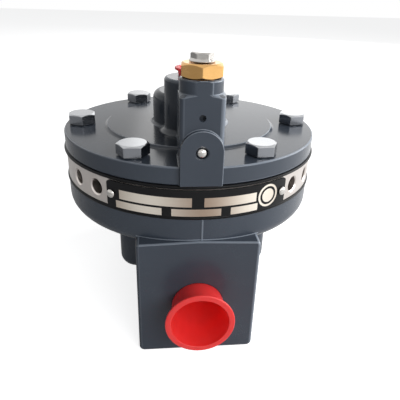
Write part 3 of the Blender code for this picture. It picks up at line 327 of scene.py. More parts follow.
def rounded(bm, width, segments, chosen):
    edges = [e for e in bm.edges if chosen(e)]
    bmesh.ops.bevel(bm, geom=edges, offset=width * mm, offset_type="OFFSET", segments=segments,
                    profile=0.5, affect="EDGES", clamp_overlap=True, material=-1)
    return bm


def clockwise(angle):  # seen from above, in degrees
    return Matrix.Rotation(-math.radians(angle), 3, "Z")


def put(bm, place=(0.0, 0.0, 0.0), rotation=None):  # place in metres
    if rotation:
        bmesh.ops.rotate(bm, verts=bm.verts, cent=(0, 0, 0), matrix=rotation)
    bmesh.ops.translate(bm, verts=bm.verts, vec=Vector(place))
    return bm


def together(shapes):
    whole = bmesh.new()
    for bm in shapes:
        mesh = bpy.data.meshes.new("part")
        bm.to_mesh(mesh)
        bm.free()
        whole.from_mesh(mesh)
        bpy.data.meshes.remove(mesh)
    return whole


def solid(name, bm):
    mesh = bpy.data.meshes.new(name)
    bm.to_mesh(mesh)
    bm.free()
    obj = bpy.data.objects.new(name, mesh)
    bpy.context.scene.collection.objects.link(obj)
    return obj


def settle(obj):  # keeps what the modifiers made and drops them
    bpy.context.view_layer.update()
    graph = bpy.context.evaluated_depsgraph_get()
    mesh = bpy.data.meshes.new_from_object(obj.evaluated_get(graph))
    obj.modifiers.clear()
    old = obj.data
    obj.data = mesh
    bpy.data.meshes.remove(old)


def join(obj, bm, operation="UNION"):
    tool = solid("tool", bm)
    modifier = obj.modifiers.new("join", "BOOLEAN")
    modifier.operation = operation
    modifier.object = tool
    modifier.solver = "EXACT"
    settle(obj)
    bpy.data.objects.remove(tool, do_unlink=True)


def cut(obj, bm):
    join(obj, bm, "DIFFERENCE")


def tidy(obj, flat=0.3):  # merges the slivers that the joins leave
    bm = bmesh.new()
    bm.from_mesh(obj.data)
    bmesh.ops.remove_doubles(bm, verts=bm.verts, dist=0.01 * mm)
    bmesh.ops.dissolve_limit(bm, angle_limit=math.radians(flat), verts=bm.verts, edges=bm.edges)
    bm.to_mesh(obj.data)
    bm.free()


def soften(obj, width, segments=3, angle=32.0):  # rounds every crease, inner ones too
    modifier = obj.modifiers.new("soften", "BEVEL")
    modifier.width = width * mm
    modifier.segments = segments
    modifier.limit_method = "ANGLE"
    modifier.angle_limit = math.radians(angle)
    modifier.use_clamp_overlap = False
    modifier.miter_outer = "MITER_ARC"
    settle(obj)


def keepInside(obj, node):  # brings points that a rounding has thrown out back into the node's box
    low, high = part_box(node)
    for vertex in obj.data.vertices:
        vertex.co = [min(max(value, least), most) for value, least, most in zip(vertex.co, low, high)]


# painted highlights: lighter paint on the narrow faces that round creases, stronger on faces turned right
# ("right") and up ("up"), where the lamps fall
edgeHighlights = {
    "widest": 0.70, "bend": 8.0, "least": 0.2, "right": 0.5, "up": 0.45, "colour": (0.30, 0.34, 0.40),
    "partingHighlight": 0.5, "partingHighlightHalf": 0.35,                        # painted highlight along the mould's line down the bowl
    "jointLow": 0.1, "jointHigh": 0.8, "joint": 0.8, "jointHighlightRight": 8.0,  # painted highlight where the bowl meets the block, brighter to the right
}


def paintEdgeHighlights(obj):  # painted highlight: how much the paint brightens on the narrow faces that round a crease, more on faces turned right and up
    s = edgeHighlights
    bm = bmesh.new()
    bm.from_mesh(obj.data)
    layer = bm.faces.layers.float.new("edgeHighlightShare")
    for face in bm.faces:
        longest = max(edge.calc_length() for edge in face.edges)
        bends = [edge.calc_face_angle(0.0) for edge in face.edges if edge.calc_length() > 0.5 * longest]
        narrow = face.calc_area() / longest < s["widest"] * mm
        # the painted highlight is stronger on faces turned right and up
        share = s["least"] + s["right"] * face.normal.x + s["up"] * face.normal.z
        if narrow and max(bends) > math.radians(s["bend"]):
            face[layer] = min(1.0, max(0.0, share))
    bm.to_mesh(obj.data)
    bm.free()


def dress(obj, material, body, nodes, sharp=38.0):
    obj.data.materials.clear()
    obj.data.materials.append(material)
    obj.data.shade_smooth()
    obj.data.set_sharp_from_angle(angle=math.radians(sharp))
    weighted = obj.modifiers.new("flatFaces", "WEIGHTED_NORMAL")
    weighted.keep_sharp = True
    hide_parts(*nodes)
    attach(obj, body)


# the same places in millimetres, as the profiles are

rim, ringLow, ringHigh = rimTop / mm, baseOfRing / mm, topOfRing / mm
flangeLow, flangeHigh = flangeBottom / mm, flangeTop / mm
portLine, neckHigh, bonnetHigh = portHeight / mm, neckTop / mm, bonnetTop / mm
screwPlaces = []
for i in range(6):
    low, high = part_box("cap_screw_%d" % (i + 1))
    screwPlaces.append(((low.x + high.x) / 2, (low.y + high.y) / 2))


def loft(rings, low=True, high=True):  # joins rings of equal counts of points, in millimetres
    bm = bmesh.new()
    made = [[bm.verts.new(Vector(point) * mm) for point in ring] for ring in rings]
    for below, above in zip(made, made[1:]):
        for i in range(len(below)):
            j = (i + 1) % len(below)
            bm.faces.new((below[i], below[j], above[j], above[i]))
    if low:
        bm.faces.new(made[0])
    if high:
        bm.faces.new(made[-1])
    bmesh.ops.remove_doubles(bm, verts=bm.verts, dist=1e-7)
    bmesh.ops.recalc_face_normals(bm, faces=bm.faces)
    return bm


def roundedBox(halfX, halfY, corner, height, steps=8):  # a ring of points
    ring = []
    for i, (sx, sy) in enumerate(((1, 1), (-1, 1), (-1, -1), (1, -1))):
        centre = (sx * (halfX - corner), sy * (halfY - corner))
        ring += [(x, y, height) for x, y in arcPoints(centre, corner, 90 * i, 90 * i + 90, steps)]
    return ring


def threaded(mouth, inner, taper, depth, pitch, chamfer):  # a cutter down -Z with thread grooves
    points = [(0, 1.0), (mouth + chamfer + 1.0, 1.0), (mouth, -chamfer)]
    slope = (mouth - inner) / taper
    z = -chamfer
    while z > -taper + pitch:
        radius = mouth + slope * z
        points += [(radius, z - 0.1 * pitch), (radius + 0.42 * pitch, z - 0.5 * pitch),
                   (radius - 0.05, z - 0.95 * pitch)]
        z -= pitch
    points += [(inner, -taper), (inner, -depth), (0, -depth)]
    return turned(points, 64, start=180 / 64)


def screwHoles(low, high):  # cutters for the six cap screws
    return [put(rod(frameSizes["screwHole"], low, high, 32), (x, y, 0)) for x, y in screwPlaces]


def bypassHole(low, high):
    return put(rod(frameSizes["bypassHole"], low, high, 24), (0, towerLine, 0))


# lower casing: block, side bosses and bowl

lowerSizes = {
    "blockHalfWidth": 27.7, "blockTop": 61.5, "blockFall": 1.0, "topCorner": 1.7, "bottomCorner": 2.6,
    "endRound": 1.5, "topRound": 0.5, "endSteps": 5, "sideHalfWidth": 39.1, "sideHalfLength": 30.0,
    "sideBottom": 23.7, "sideCorner": 9.0, "sideRound": 6.0, "sideFillet": 4.5, "sideShift": 1.2,
    "bowlRadius": 64.0, "bowlBottom": 56.5, "bowlRound": 7.0, "ridge": 0.22, "ridgeAngle": 0.7,
    "ridgeShift": 1.1, "chamber": 46.0, "chamberFloor": 61.0, "chamberSlope": 4.0, "pocket": 13.0,
    "pocketFloor": 12.0, "seatBore": 16.0, "seatLedge": 46.0, "guide": 5.5, "guideHole": 3.3, "guideEnd": 8.0,
    "guideHeight": 7.0, "riser": 6.5, "riserLine": 27.5, "portMouth": 11.4, "portBore": 9.6,
    "portTaper": 14.0, "portPitch": 1.81, "portChamfer": 0.6, "outputDepth": 45.0, "supplyDepth": 58.5,
    "screwDepth": 11.3,
}


def sideBoss(s):
    rings = []
    for x, z in arcPoints((0, s["sideBottom"] + s["sideRound"]), s["sideRound"], -90, 0, 6):
        rings.append((x - s["sideRound"], z))
    for x, z in arcPoints((s["sideFillet"], s["bowlBottom"] - s["sideFillet"]), s["sideFillet"], 180, 90, 6):
        rings.append((x, z))
    rings.append((s["sideFillet"], s["bowlBottom"] + 2.0))
    loops = []
    for grow, z in rings:
        size = [s[key] + grow for key in ("sideHalfWidth", "sideHalfLength", "sideCorner")]
        loops.append(roundedBox(*size, z))
    return loft(loops)


def blockForm(s):  # the port block, whose ends are rounded less along the top
    w, c, b = s["blockHalfWidth"], s["topCorner"], s["bottomCorner"]
    side = s["blockTop"] - s["blockFall"]
    corner = arcPoints((0, 0), 1, 0, 85, 6)
    rings = []
    for end in (-1, 1):
        for i in range(s["endSteps"] + 1):
            angle = math.radians(90 * (i if end < 0 else s["endSteps"] - i) / s["endSteps"])
            flat, high = (s[key] * (1 - math.sin(angle)) for key in ("endRound", "topRound"))
            y = end * (portFace / mm - s["endRound"] * (1 - math.cos(angle)))
            right = arcPoints((w - b, b), b - flat, -90, 0, 6)
            right += [(w - c + (c - flat) * x, side - c + (c - high) * z) for x, z in corner]
            outline = right + [(0, s["blockTop"] - high)] + [(-x, z) for x, z in reversed(right)]
            rings.append([(x, y, z) for x, z in outline])
    return loft(rings)


def makeLowerCasing(material):
    s = lowerSizes
    casing = solid("lowerCasing", blockForm(s))
    join(casing, put(sideBoss(s), (s["sideShift"] * mm, 0, 0)))
    r, low = s["bowlRound"], s["bowlBottom"]
    bowl = [(0, low)] + arcPoints((s["bowlRadius"] - r, low + r), r, -90, 0, 8)
    bowl += [(s["bowlRadius"], rim), (0, rim)]
    join(casing, turned(bowl, 144))
    tidy(casing)
    paintEdgeHighlights(casing)
    edge = s["bowlRadius"] + s["ridge"]
    ridge = [(edge - 6, low + 2)] + arcPoints((edge - r, low + r), r, -60, 0, 8)
    ridge += [(edge, rim - 0.6), (edge - 6, rim - 0.6)]
    for start in (-90, 90):
        join(casing, turned(ridge, 1, s["ridgeAngle"], start + s["ridgeShift"] - s["ridgeAngle"] / 2))
    floor, ledge, slope = s["chamberFloor"], s["seatLedge"], s["chamberSlope"]
    guideTop = s["pocketFloor"] + s["guideHeight"]
    pocket = [(0, s["guideEnd"]), (s["guideHole"], s["guideEnd"]), (s["guideHole"], guideTop),
              (s["guide"], guideTop), (s["guide"], s["pocketFloor"]), (s["pocket"], s["pocketFloor"]),
              (s["pocket"], ledge), (s["seatBore"], ledge), (s["seatBore"], floor),
              (s["chamber"] - slope, floor), (s["chamber"], floor + slope), (s["chamber"], rim + 1),
              (0, rim + 1)]
    cut(casing, turned(pocket, 72, start=2.5))
    for rotation, y, depth in ((toFront, -portFace, s["outputDepth"]), (toBack, portFace, s["supplyDepth"])):
        port = threaded(s["portMouth"], s["portBore"], s["portTaper"], depth, s["portPitch"],
                        s["portChamfer"])
        cut(casing, put(port, (0, y, portHeight), rotation))
    cut(casing, put(rod(s["riser"], portLine, floor + 1), (0, -s["riserLine"] * mm, 0)))
    cut(casing, together(screwHoles(rim - s["screwDepth"], rim + 1) + [bypassHole(portLine, rim + 1)]))
    dress(casing, material, "casing", ["lower_casing"])


# ring between the diaphragms, with its vents

ringSizes = {
    "outer": 63.9, "inner": 46.0, "edge": 0.35, "vent": 3.45, "ventRim": 4.1, "ventAngles": (44.6, 57.9),
    "rearVent": 6.7, "pinDepth": 5.3,
}


def aimed(bm, angle, height):  # from +Z to a radial direction, in degrees from the front
    turn = Matrix.Rotation(math.radians(angle), 3, "Z") @ toFront
    return put(bm, (0, 0, height), turn)


def pinHoles(low, high):  # cutters for the nameplate's two drive screws
    hole, angle = frameSizes["pinHole"], frameSizes["pinAngle"]
    return together([aimed(rod(hole, low, high, 24), side * angle, ringMiddle) for side in (-1, 1)])


def makeRing(material):
    s = ringSizes
    e = s["edge"]
    profile = [(s["inner"], ringLow), (s["outer"] - e, ringLow), (s["outer"], ringLow + e),
               (s["outer"], ringHigh - e), (s["outer"] - e, ringHigh), (s["inner"], ringHigh)]
    ring = solid("exhaustRing", turned(profile, 180))
    angles = [side * angle for side in (-1, 1) for angle in s["ventAngles"]]
    angles += [180 - angle for angle in angles] + [180 - s["rearVent"], 180 + s["rearVent"]]
    step = s["ventRim"] - s["vent"]
    vents = []
    for angle in angles:
        vent = [(0, s["inner"] - 1), (s["vent"], s["inner"] - 1), (s["vent"], s["outer"] - step),
                (s["ventRim"] + 1, s["outer"] + 1), (0, s["outer"] + 1)]
        vents.append(aimed(turned(vent, 40), angle, ringMiddle))
    cut(ring, together(vents))
    cut(ring, pinHoles(s["outer"] - s["pinDepth"], s["outer"] + 1))
    cut(ring, together(screwHoles(ringLow - 1, ringHigh + 1) + [bypassHole(ringLow - 1, ringHigh + 1)]))
    dress(ring, material, "casing", ["exhaust_ring"], 30)


# edges of the two diaphragms, which the screws squeeze out between the casings and the ring; the upper one is
# widened as a painted shade under the flange

beadSizes = {
    # the upper edge reaches past the flange: real black rubber, widened as a painted shade for the shadow
    # under the flange
    "upper": {"reach": 64.95, "low": 86.5, "high": 87.85},
    "lower": {"reach": 64.5, "low": 71.9, "high": 73.5},
    "inset": 1.6,
}


def makeBeads(material):
    for name in ("upper", "lower"):
        s = beadSizes[name]
        half, middle = (s["high"] - s["low"]) / 2, (s["high"] + s["low"]) / 2
        bead = [(s["reach"] - half + x, middle + z) for x, z in arcPoints((0, 0), half, -80, 80, 8)]
        start = s["reach"] - beadSizes["inset"]
        bead = [(start, bead[0][1])] + bead + [(start, bead[-1][1])]
        edge = solid(name + "DiaphragmEdge", turned(bead, 180))
        edge.data.materials.append(material)
        edge.data.shade_smooth()
        edge.data.set_sharp_from_angle(angle=math.radians(40))
        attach(edge, "casing")


# upper casing: flange, dome, input boss, tower and lug

upperSizes = {
    "flange": 64.2, "flangeEdge": 0.7, "lowEdge": 0.5, "plateau": 43.0, "plateauHeight": 1.3, "dome": 19.0,
    "domeHeight": 17.6, "domeRound": 3.5, "domeFoot": 1.5, "domeTurn": 1.3, "boss": 13.7, "bossHeight": 27.1,
    "bossEdge": 1.6, "bossFoot": 3.0, "bossLine": 16.0, "bossTurn": 0.7, "webHalf": 8.0, "webHeight": 14.5,
    "towerHalf": 8.3, "towerHalfWidth": 9.0, "towerHeight": 28.6, "towerEdge": 2.0, "shoulder": 24.0,
    "neck": 8.8, "neckEdge": 0.4, "lug": 8.8, "lugFace": 65.5, "lugCentre": 6.7, "lugThickness": 5.0,
    "chamber": 46.0, "ceiling": 4.4, "hollow": 14.5, "domeWall": 4.5, "portMouth": 7.0, "portBore": 5.6,
    "portTaper": 9.0, "portPitch": 1.41, "portChamfer": 0.4, "cross": 2.0, "crossMouth": 2.5, "ballSeat": 4.6,
    "needleBore": 4.0, "spigotHole": 5.8, "spigotDepth": 11.9, "seatHeight": 3.0, "smallHole": 1.25,
    "smallHoleHeight": 19.9, "smallHoleDepth": 3.0, "crease": 0.35,
}


def towerForm(s):
    half, line = s["towerHalf"], -towerLine / mm
    top = flangeHigh + s["towerHeight"]
    ends = (flangeLow + 2, neckHigh + 1)
    column = [roundedBox(s["towerHalfWidth"], half, s["towerEdge"], z, 5) for z in ends]
    square = solid("towerForm", loft(column))
    fall = (2 * half - s["neck"]) * math.tan(math.radians(s["shoulder"]))
    cone = [(0, flangeLow), (2 * half, flangeLow), (2 * half, top - fall), (s["neck"], top),
            (s["neck"], neckHigh - s["neckEdge"]), (s["neck"] - s["neckEdge"], neckHigh), (0, neckHigh)]
    join(square, turned(cone, 96), "INTERSECT")
    bm = bmesh.new()
    bm.from_mesh(square.data)
    bpy.data.objects.remove(square, do_unlink=True)
    return put(bm, (0, towerLine, 0))


def makeUpperCasing(material):
    s = upperSizes
    foot = flangeHigh + s["plateauHeight"]
    edge, low = s["flangeEdge"], s["lowEdge"]
    profile = [(0, flangeLow), (s["flange"] - low, flangeLow), (s["flange"], flangeLow + low)]
    profile += arcPoints((s["flange"] - edge, flangeHigh - edge), edge, 0, 90, 5)
    profile += [(s["plateau"] + 1.6, flangeHigh), (s["plateau"] + 0.5, flangeHigh + 0.4),
                (s["plateau"], foot - 0.3), (s["plateau"] - 0.5, foot), (0, foot)]
    casing = solid("upperCasing", turned(profile, 144))
    r, f = s["domeRound"], s["domeFoot"]
    top = flangeHigh + s["domeHeight"]
    dome = [(0, flangeHigh), (s["dome"] + f, flangeHigh)]
    dome += arcPoints((s["dome"] + f, foot + f), f, 270, 180, 5)
    dome += arcPoints((s["dome"] - r, top - r), r, 0, 90, 6) + [(0, top)]
    join(casing, turned(dome, 96, start=s["domeTurn"]))
    f, e = s["bossFoot"], s["bossEdge"]
    bossTop = flangeHigh + s["bossHeight"]
    boss = [(0, flangeLow + 2), (s["boss"] + f, flangeLow + 2)]
    boss += arcPoints((s["boss"] + f, foot + f), f, 270, 180, 5)
    boss += arcPoints((s["boss"] - e, bossTop - e), e, 0, 90, 5) + [(0, bossTop)]
    join(casing, put(turned(boss, 80, start=s["bossTurn"]), (0, -s["bossLine"] * mm, 0)))
    webFoot = (-s["webHalf"], towerLine / mm, flangeLow + 2)
    webTop = (s["webHalf"], -s["bossLine"], flangeHigh + s["webHeight"])
    join(casing, brick(webFoot, webTop))
    join(casing, towerForm(s))
    centre = flangeHigh + s["lugCentre"]
    lug = [(s["lug"], flangeLow + 0.3)] + arcPoints((0, centre), s["lug"], 0, 180, 32)
    lug.append((-s["lug"], flangeLow + 0.3))
    join(casing, put(slab(lug, s["lugThickness"]), (0, -s["lugFace"] * mm, 0)))
    tidy(casing)
    soften(casing, s["crease"])
    keepInside(casing, "upper_casing")
    paintEdgeHighlights(casing)
    ceiling = flangeLow + s["ceiling"]
    hollow = [(0, flangeLow - 1), (s["chamber"], flangeLow - 1), (s["chamber"], ceiling),
              (s["hollow"], ceiling), (s["hollow"], top - s["domeWall"]), (0, top - s["domeWall"])]
    cut(casing, turned(hollow, 72, start=2.5))
    depth = bossTop - ceiling + 1
    port = threaded(s["portMouth"], s["portBore"], s["portTaper"], depth, s["portPitch"], s["portChamfer"])
    cut(casing, put(port, (0, -s["bossLine"] * mm, bossTop * mm)))
    crossDepth = s["lugFace"] - s["bossLine"]
    mouth, seat = s["crossMouth"], -s["ballSeat"]
    cross = [(0, 1), (mouth + 1.0, 1), (mouth + 0.5, 0), (mouth, -0.5), (mouth, seat),
             (s["cross"], seat - 0.5), (s["cross"], -crossDepth), (0, -crossDepth)]
    crossLine = (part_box("passage_ball")[0].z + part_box("passage_ball")[1].z) / 2
    cut(casing, put(turned(cross, 32, start=5), (0, -s["lugFace"] * mm, crossLine), toFront))
    seat = flangeHigh + s["seatHeight"]
    bore, spigotEnd = frameSizes["bypassHole"], neckHigh - s["spigotDepth"]
    needle = [(0, flangeLow - 1), (bore, flangeLow - 1), (bore, seat), (s["needleBore"], seat),
              (s["needleBore"], spigotEnd), (s["spigotHole"], spigotEnd), (s["spigotHole"], neckHigh + 1),
              (0, neckHigh + 1)]
    cut(casing, put(turned(needle, 48, start=3), (0, towerLine, 0)))
    small, end = s["smallHole"], -s["smallHoleDepth"]
    hole = [(0, 1), (small + 0.3, 1), (small + 0.15, 0), (small, -0.3), (small, end), (0, end)]
    holePlace = (0, towerLine - s["towerHalf"] * mm, (flangeHigh + s["smallHoleHeight"]) * mm)
    cut(casing, put(turned(hole, 24, start=4), holePlace, toFront))
    cut(casing, together(screwHoles(flangeLow - 1, flangeHigh + 1)))
    dress(casing, material, "casing", ["upper_casing"])


# hexagon heads

headAngles = [2 * math.pi * i / 96 for i in range(96)]


def hexRing(flats, z, start=None, low=False):  # start is where the 30 degree chamfer begins
    ring = []
    for angle in headAngles:
        off = (angle + math.pi / 6) % (math.pi / 3) - math.pi / 6
        radius = flats / 2 / math.cos(off)
        fall = 0 if start is None else max(0.0, radius - start) * math.tan(math.radians(30))
        ring.append((radius * math.cos(angle), radius * math.sin(angle), z + fall if low else z - fall))
    return ring


def circleRing(radius, z):
    return [(radius * math.cos(angle), radius * math.sin(angle), z) for angle in headAngles]


def softenCorners(bm, flats, width):  # rounds the six upright corners of a head
    def corner(e):
        a, b = (v.co for v in e.verts)
        return (a - b).xy.length < 0.01 * mm and a.xy.length > 0.57 * flats * mm
    return rounded(bm, width, 3, corner)


screwSizes = {
    "flats": 12.7, "shank": 3.95, "washer": 5.9, "washerHeight": 0.35, "depth": 11.0, "chamfer": 0.94,
    "turns": (24, 22, 40, 15, 53, 30), "corner": 0.25, "crown": 0.75,  # the flats below the crown are painted darker, a painted shade
}


def makeCapScrews(material):
    s = screwSizes
    low, high = headBottom / mm, headTop / mm
    face, washer, end = s["chamfer"] * s["flats"] / 2, low + s["washerHeight"], rim - s["depth"]
    rings = [circleRing(s["shank"] - 0.5, end), circleRing(s["shank"], end + 0.5),
             circleRing(s["shank"], low), circleRing(s["washer"], low), circleRing(s["washer"], washer),
             hexRing(s["flats"], washer), hexRing(s["flats"], high, face), circleRing(face, high),
             circleRing(face - 0.3, high)]
    for i, (x, y) in enumerate(screwPlaces):
        bm = softenCorners(loft(rings), s["flats"], s["corner"])
        screw = solid("capScrew%d" % (i + 1), put(bm, (x, y, 0), clockwise(s["turns"][i])))
        dress(screw, material, "casing", ["cap_screw_%d" % (i + 1)], 25)


bonnetSizes = {
    "flats": 15.9, "turn": 4.0, "hole": 3.3, "spigot": 5.5, "spigotDepth": 11.6, "chamfer": 0.93,
    "lowChamfer": 0.96, "corner": 0.3, "height": 5.4, "counter": 0.5,
}


def makeBonnet(material):
    s = bonnetSizes
    low = bonnetHigh - s["height"]
    face, foot = s["chamfer"] * s["flats"] / 2, s["lowChamfer"] * s["flats"] / 2
    bottom = neckHigh - s["spigotDepth"]
    rings = [circleRing(s["hole"], bottom), circleRing(s["spigot"], bottom), circleRing(s["spigot"], low),
             circleRing(foot, low), hexRing(s["flats"], low, foot, True),
             hexRing(s["flats"], bonnetHigh, face), circleRing(face, bonnetHigh),
             circleRing(s["hole"] + s["counter"], bonnetHigh),
             circleRing(s["hole"], bonnetHigh - s["counter"]), circleRing(s["hole"], bottom)]
    bm = softenCorners(loft(rings, False, False), s["flats"], s["corner"])
    bonnet = solid("bypassBonnet", put(bm, (0, towerLine, 0), clockwise(s["turn"])))
    dress(bonnet, material, "casing", ["bypass_bonnet"], 25)


needleSizes = {
    "flats": 8.0, "turn": 34.0, "collar": 5.1, "collarEdge": 0.35, "coneHeight": 1.15, "headHeight": 3.4,
    "chamfer": 0.9, "thread": 3.0, "threadDepth": 0.28, "pitch": 1.0, "body": 3.5, "bodyTop": 18.0,
    "seal": 14.0, "groove": 1.9, "half": 1.05, "cone": 4.2, "tip": 0.5, "corner": 0.2,
}


def makeNeedle(material):
    s = needleSizes
    tip = flangeHigh + upperSizes["seatHeight"] - frameSizes["gap"]
    shoulder = tip + s["cone"]
    seal, bodyTop = flangeHigh + s["seal"], flangeHigh + s["bodyTop"]
    collar = bonnetHigh + frameSizes["gap"]
    body, groove, low, high = s["body"], s["groove"], seal - s["half"], seal + s["half"]
    crest, root = s["thread"], s["thread"] - s["threadDepth"]
    points = [(s["tip"], tip), (body - 0.6, shoulder), (body, shoulder), (body, low), (groove, low),
              (groove, high), (body, high), (body, bodyTop), (root, bodyTop)]
    z = bodyTop
    while z < collar - s["pitch"]:
        points += [(crest, z + 0.4 * s["pitch"]), (crest, z + 0.6 * s["pitch"]), (root, z + s["pitch"])]
        z += s["pitch"]
    points += [(root, collar), (s["collar"] - 0.1, collar), (s["collar"], collar + 0.1),
               (s["collar"], collar + s["collarEdge"])]
    face = s["chamfer"] * s["flats"] / 2
    high = collar + s["headHeight"]
    rings = [circleRing(radius, height) for radius, height in points]
    rings += [hexRing(s["flats"], collar + s["coneHeight"]), hexRing(s["flats"], high, face),
              circleRing(face, high)]
    bm = softenCorners(loft(rings), s["flats"], s["corner"])
    screw = solid("bypassScrew", put(bm, (0, towerLine, 0), clockwise(s["turn"])))
    dress(screw, material, "bypass_needle", ["bypass_screw"], 25)


def makeBall(material):
    low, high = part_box("passage_ball")
    radius = (upperSizes["crossMouth"] - 0.05) * mm
    bm = bmesh.new()
    bmesh.ops.create_uvsphere(bm, u_segments=40, v_segments=24, radius=radius)
    ball = solid("passageBall", put(bm, (0, low.y + radius, (low.z + high.z) / 2)))
    dress(ball, material, "casing", ["passage_ball"], 60)


# nameplate and its two drive screws

plateSizes = {
    "halfAngle": 37.8, "inner": 64.2, "thickness": 0.5, "lowMargin": 0.1, "highMargin": 0.5, "corner": 1.6,
    "columns": 84, "headRadius": 2.0, "headHeight": 1.2, "headEdge": 0.15, "pin": 0.9, "pinDepth": 5.0,
    "fields": (  # angles from the front, then heights above the plate's lower edge
        (-31.8, -3.2, 4.8, 9.05), (1.45, 22.5, 4.8, 9.05),
        (-33.5, -14.5, 0.45, 3.8), (-10.8, 8.0, 0.45, 3.8), (11.8, 23.3, 0.45, 3.8)),
    "disc": (28.2, 6.3, 5.3, 4.3, 3.2),  # angle, height, then the radii of a plain ring and disc
}


def makeNameplate(material):
    s = plateSizes
    inner, outer = s["inner"], s["inner"] + s["thickness"]
    low, high = ringLow + s["lowMargin"], ringHigh - s["highMargin"]
    half = math.radians(s["halfAngle"]) * outer
    flat = [(x, z) for x, z, _ in roundedBox(half, (high - low) / 2, s["corner"], 0, 6)]
    bm = put(slab(flat, s["thickness"]), (0, 0, (low + high) / 2 * mm))
    for i in range(1, s["columns"]):
        x = half * (2 * i / s["columns"] - 1) * mm
        geom = list(bm.verts) + list(bm.edges) + list(bm.faces)
        bmesh.ops.bisect_plane(bm, geom=geom, dist=1e-8, plane_co=(x, 0, 0), plane_no=(1, 0, 0))
    for v in bm.verts:
        angle = v.co.x / (outer * mm)
        radius = outer * mm - v.co.y
        v.co.x, v.co.y = radius * math.sin(angle), -radius * math.cos(angle)
    bmesh.ops.recalc_face_normals(bm, faces=bm.faces)
    plate = solid("nameplateSheet", bm)
    cut(plate, pinHoles(inner - 2, outer + 2))
    dress(plate, material, "casing", ["nameplate"], 30)


def makeDriveScrews(material):
    s = plateSizes
    gap, radius = frameSizes["gap"], s["headRadius"]
    under, end = s["inner"] + s["thickness"] + gap, s["inner"] - gap - s["pinDepth"]
    edge = under + s["headEdge"]
    dome = [(0, end), (s["pin"], end), (s["pin"], under), (radius - 0.1, under), (radius, edge)]
    for i in range(1, 8):
        angle = math.radians(90 * i / 8)
        dome.append((radius * math.cos(angle), edge + (s["headHeight"] - s["headEdge"]) * math.sin(angle)))
    dome.append((0, under + s["headHeight"]))
    for side, name in ((-1, "Left"), (1, "Right")):
        screw = solid("driveScrew" + name, aimed(turned(dome, 40), side * frameSizes["pinAngle"], ringMiddle))
        dress(screw, material, "casing", ["drive_screw_" + name.lower()], 40)


# push-in caps

capSizes = {
    "output": {"rim": 15.5, "rimThickness": 1.2, "standoff": 14.0, "neck": 13.9, "face": 11.8, "fit": 11.1,
               "end": 9.3, "depth": 13.0, "wall": 1.0, "lip": 0.45},
    "input": {"rim": 8.7, "rimThickness": 1.2, "standoff": 4.4, "neck": 7.4, "face": 6.8, "fit": 6.7,
              "end": 5.3, "depth": 8.5, "wall": 1.0, "lip": 0.4},
}


def capForm(s):
    rimLow, top, lip, wall = s["standoff"] - s["rimThickness"], s["standoff"], s["lip"], s["wall"]
    rise, rimLine = s["neck"] - s["face"], s["rim"] - lip
    shares = (0.01, 0.2, 0.4, 0.6, 0.75, 0.85, 0.93, 1.0)
    neck = [(s["face"] + rise * (0.85 * t + 0.15 * t ** 6), rimLow * t) for t in shares]
    points = [(0, -s["depth"]), (s["end"] - 0.4, -s["depth"]), (s["end"], 0.4 - s["depth"]), (s["fit"], 0)]
    points += neck + [(rimLine, rimLow)] + arcPoints((rimLine, rimLow + lip), lip, -60, 0, 3)
    points += arcPoints((rimLine, top - lip), lip, 0, 90, 4)
    mouth = [(radius - wall, z) for radius, z in reversed(neck)]
    points += arcPoints((mouth[0][0] + 0.3, top - 0.3), 0.3, 90, 180, 3)
    points += mouth + [(s["end"] - wall, wall - s["depth"] + 0.8), (s["end"] - wall - 0.8, wall - s["depth"]),
                       (0, wall - s["depth"])]
    return turned(points, 96)


def makeCaps(material):
    big, small = capSizes["output"], capSizes["input"]
    inputFace = flangeTop + upperSizes["bossHeight"] * mm
    places = (("outputPortCap", big, (0, -portFace, portHeight), toFront, "output_cap", "output_port_cap"),
              ("supplyPortCap", big, (0, portFace, portHeight), toBack, "supply_cap", "supply_port_cap"),
              ("inputPortCap", small, (0, inputLine, inputFace), None, "input_cap", "input_port_cap"))
    for name, sizes, place, rotation, body, node in places:
        cap = solid(name, put(capForm(sizes), place, rotation))
        dress(cap, material, body, [node], 35)


# materials

paintLook = {
    "patchScale": 45.0, "peelScale": 700.0, "grainScale": 2200.0, "pitScale": 1100.0,
    "grainShare": 0.15, "sandShare": 0.7, "sandBottom": 60.0,       # the bowl has a coarse sand surface
    "dark": (0.044, 0.055, 0.074), "light": (0.060, 0.073, 0.094), "roughBase": 0.18, "smoothBase": 0.10,
    "bumpStrength": 0.35, "bumpDepth": 0.06 * mm,
}


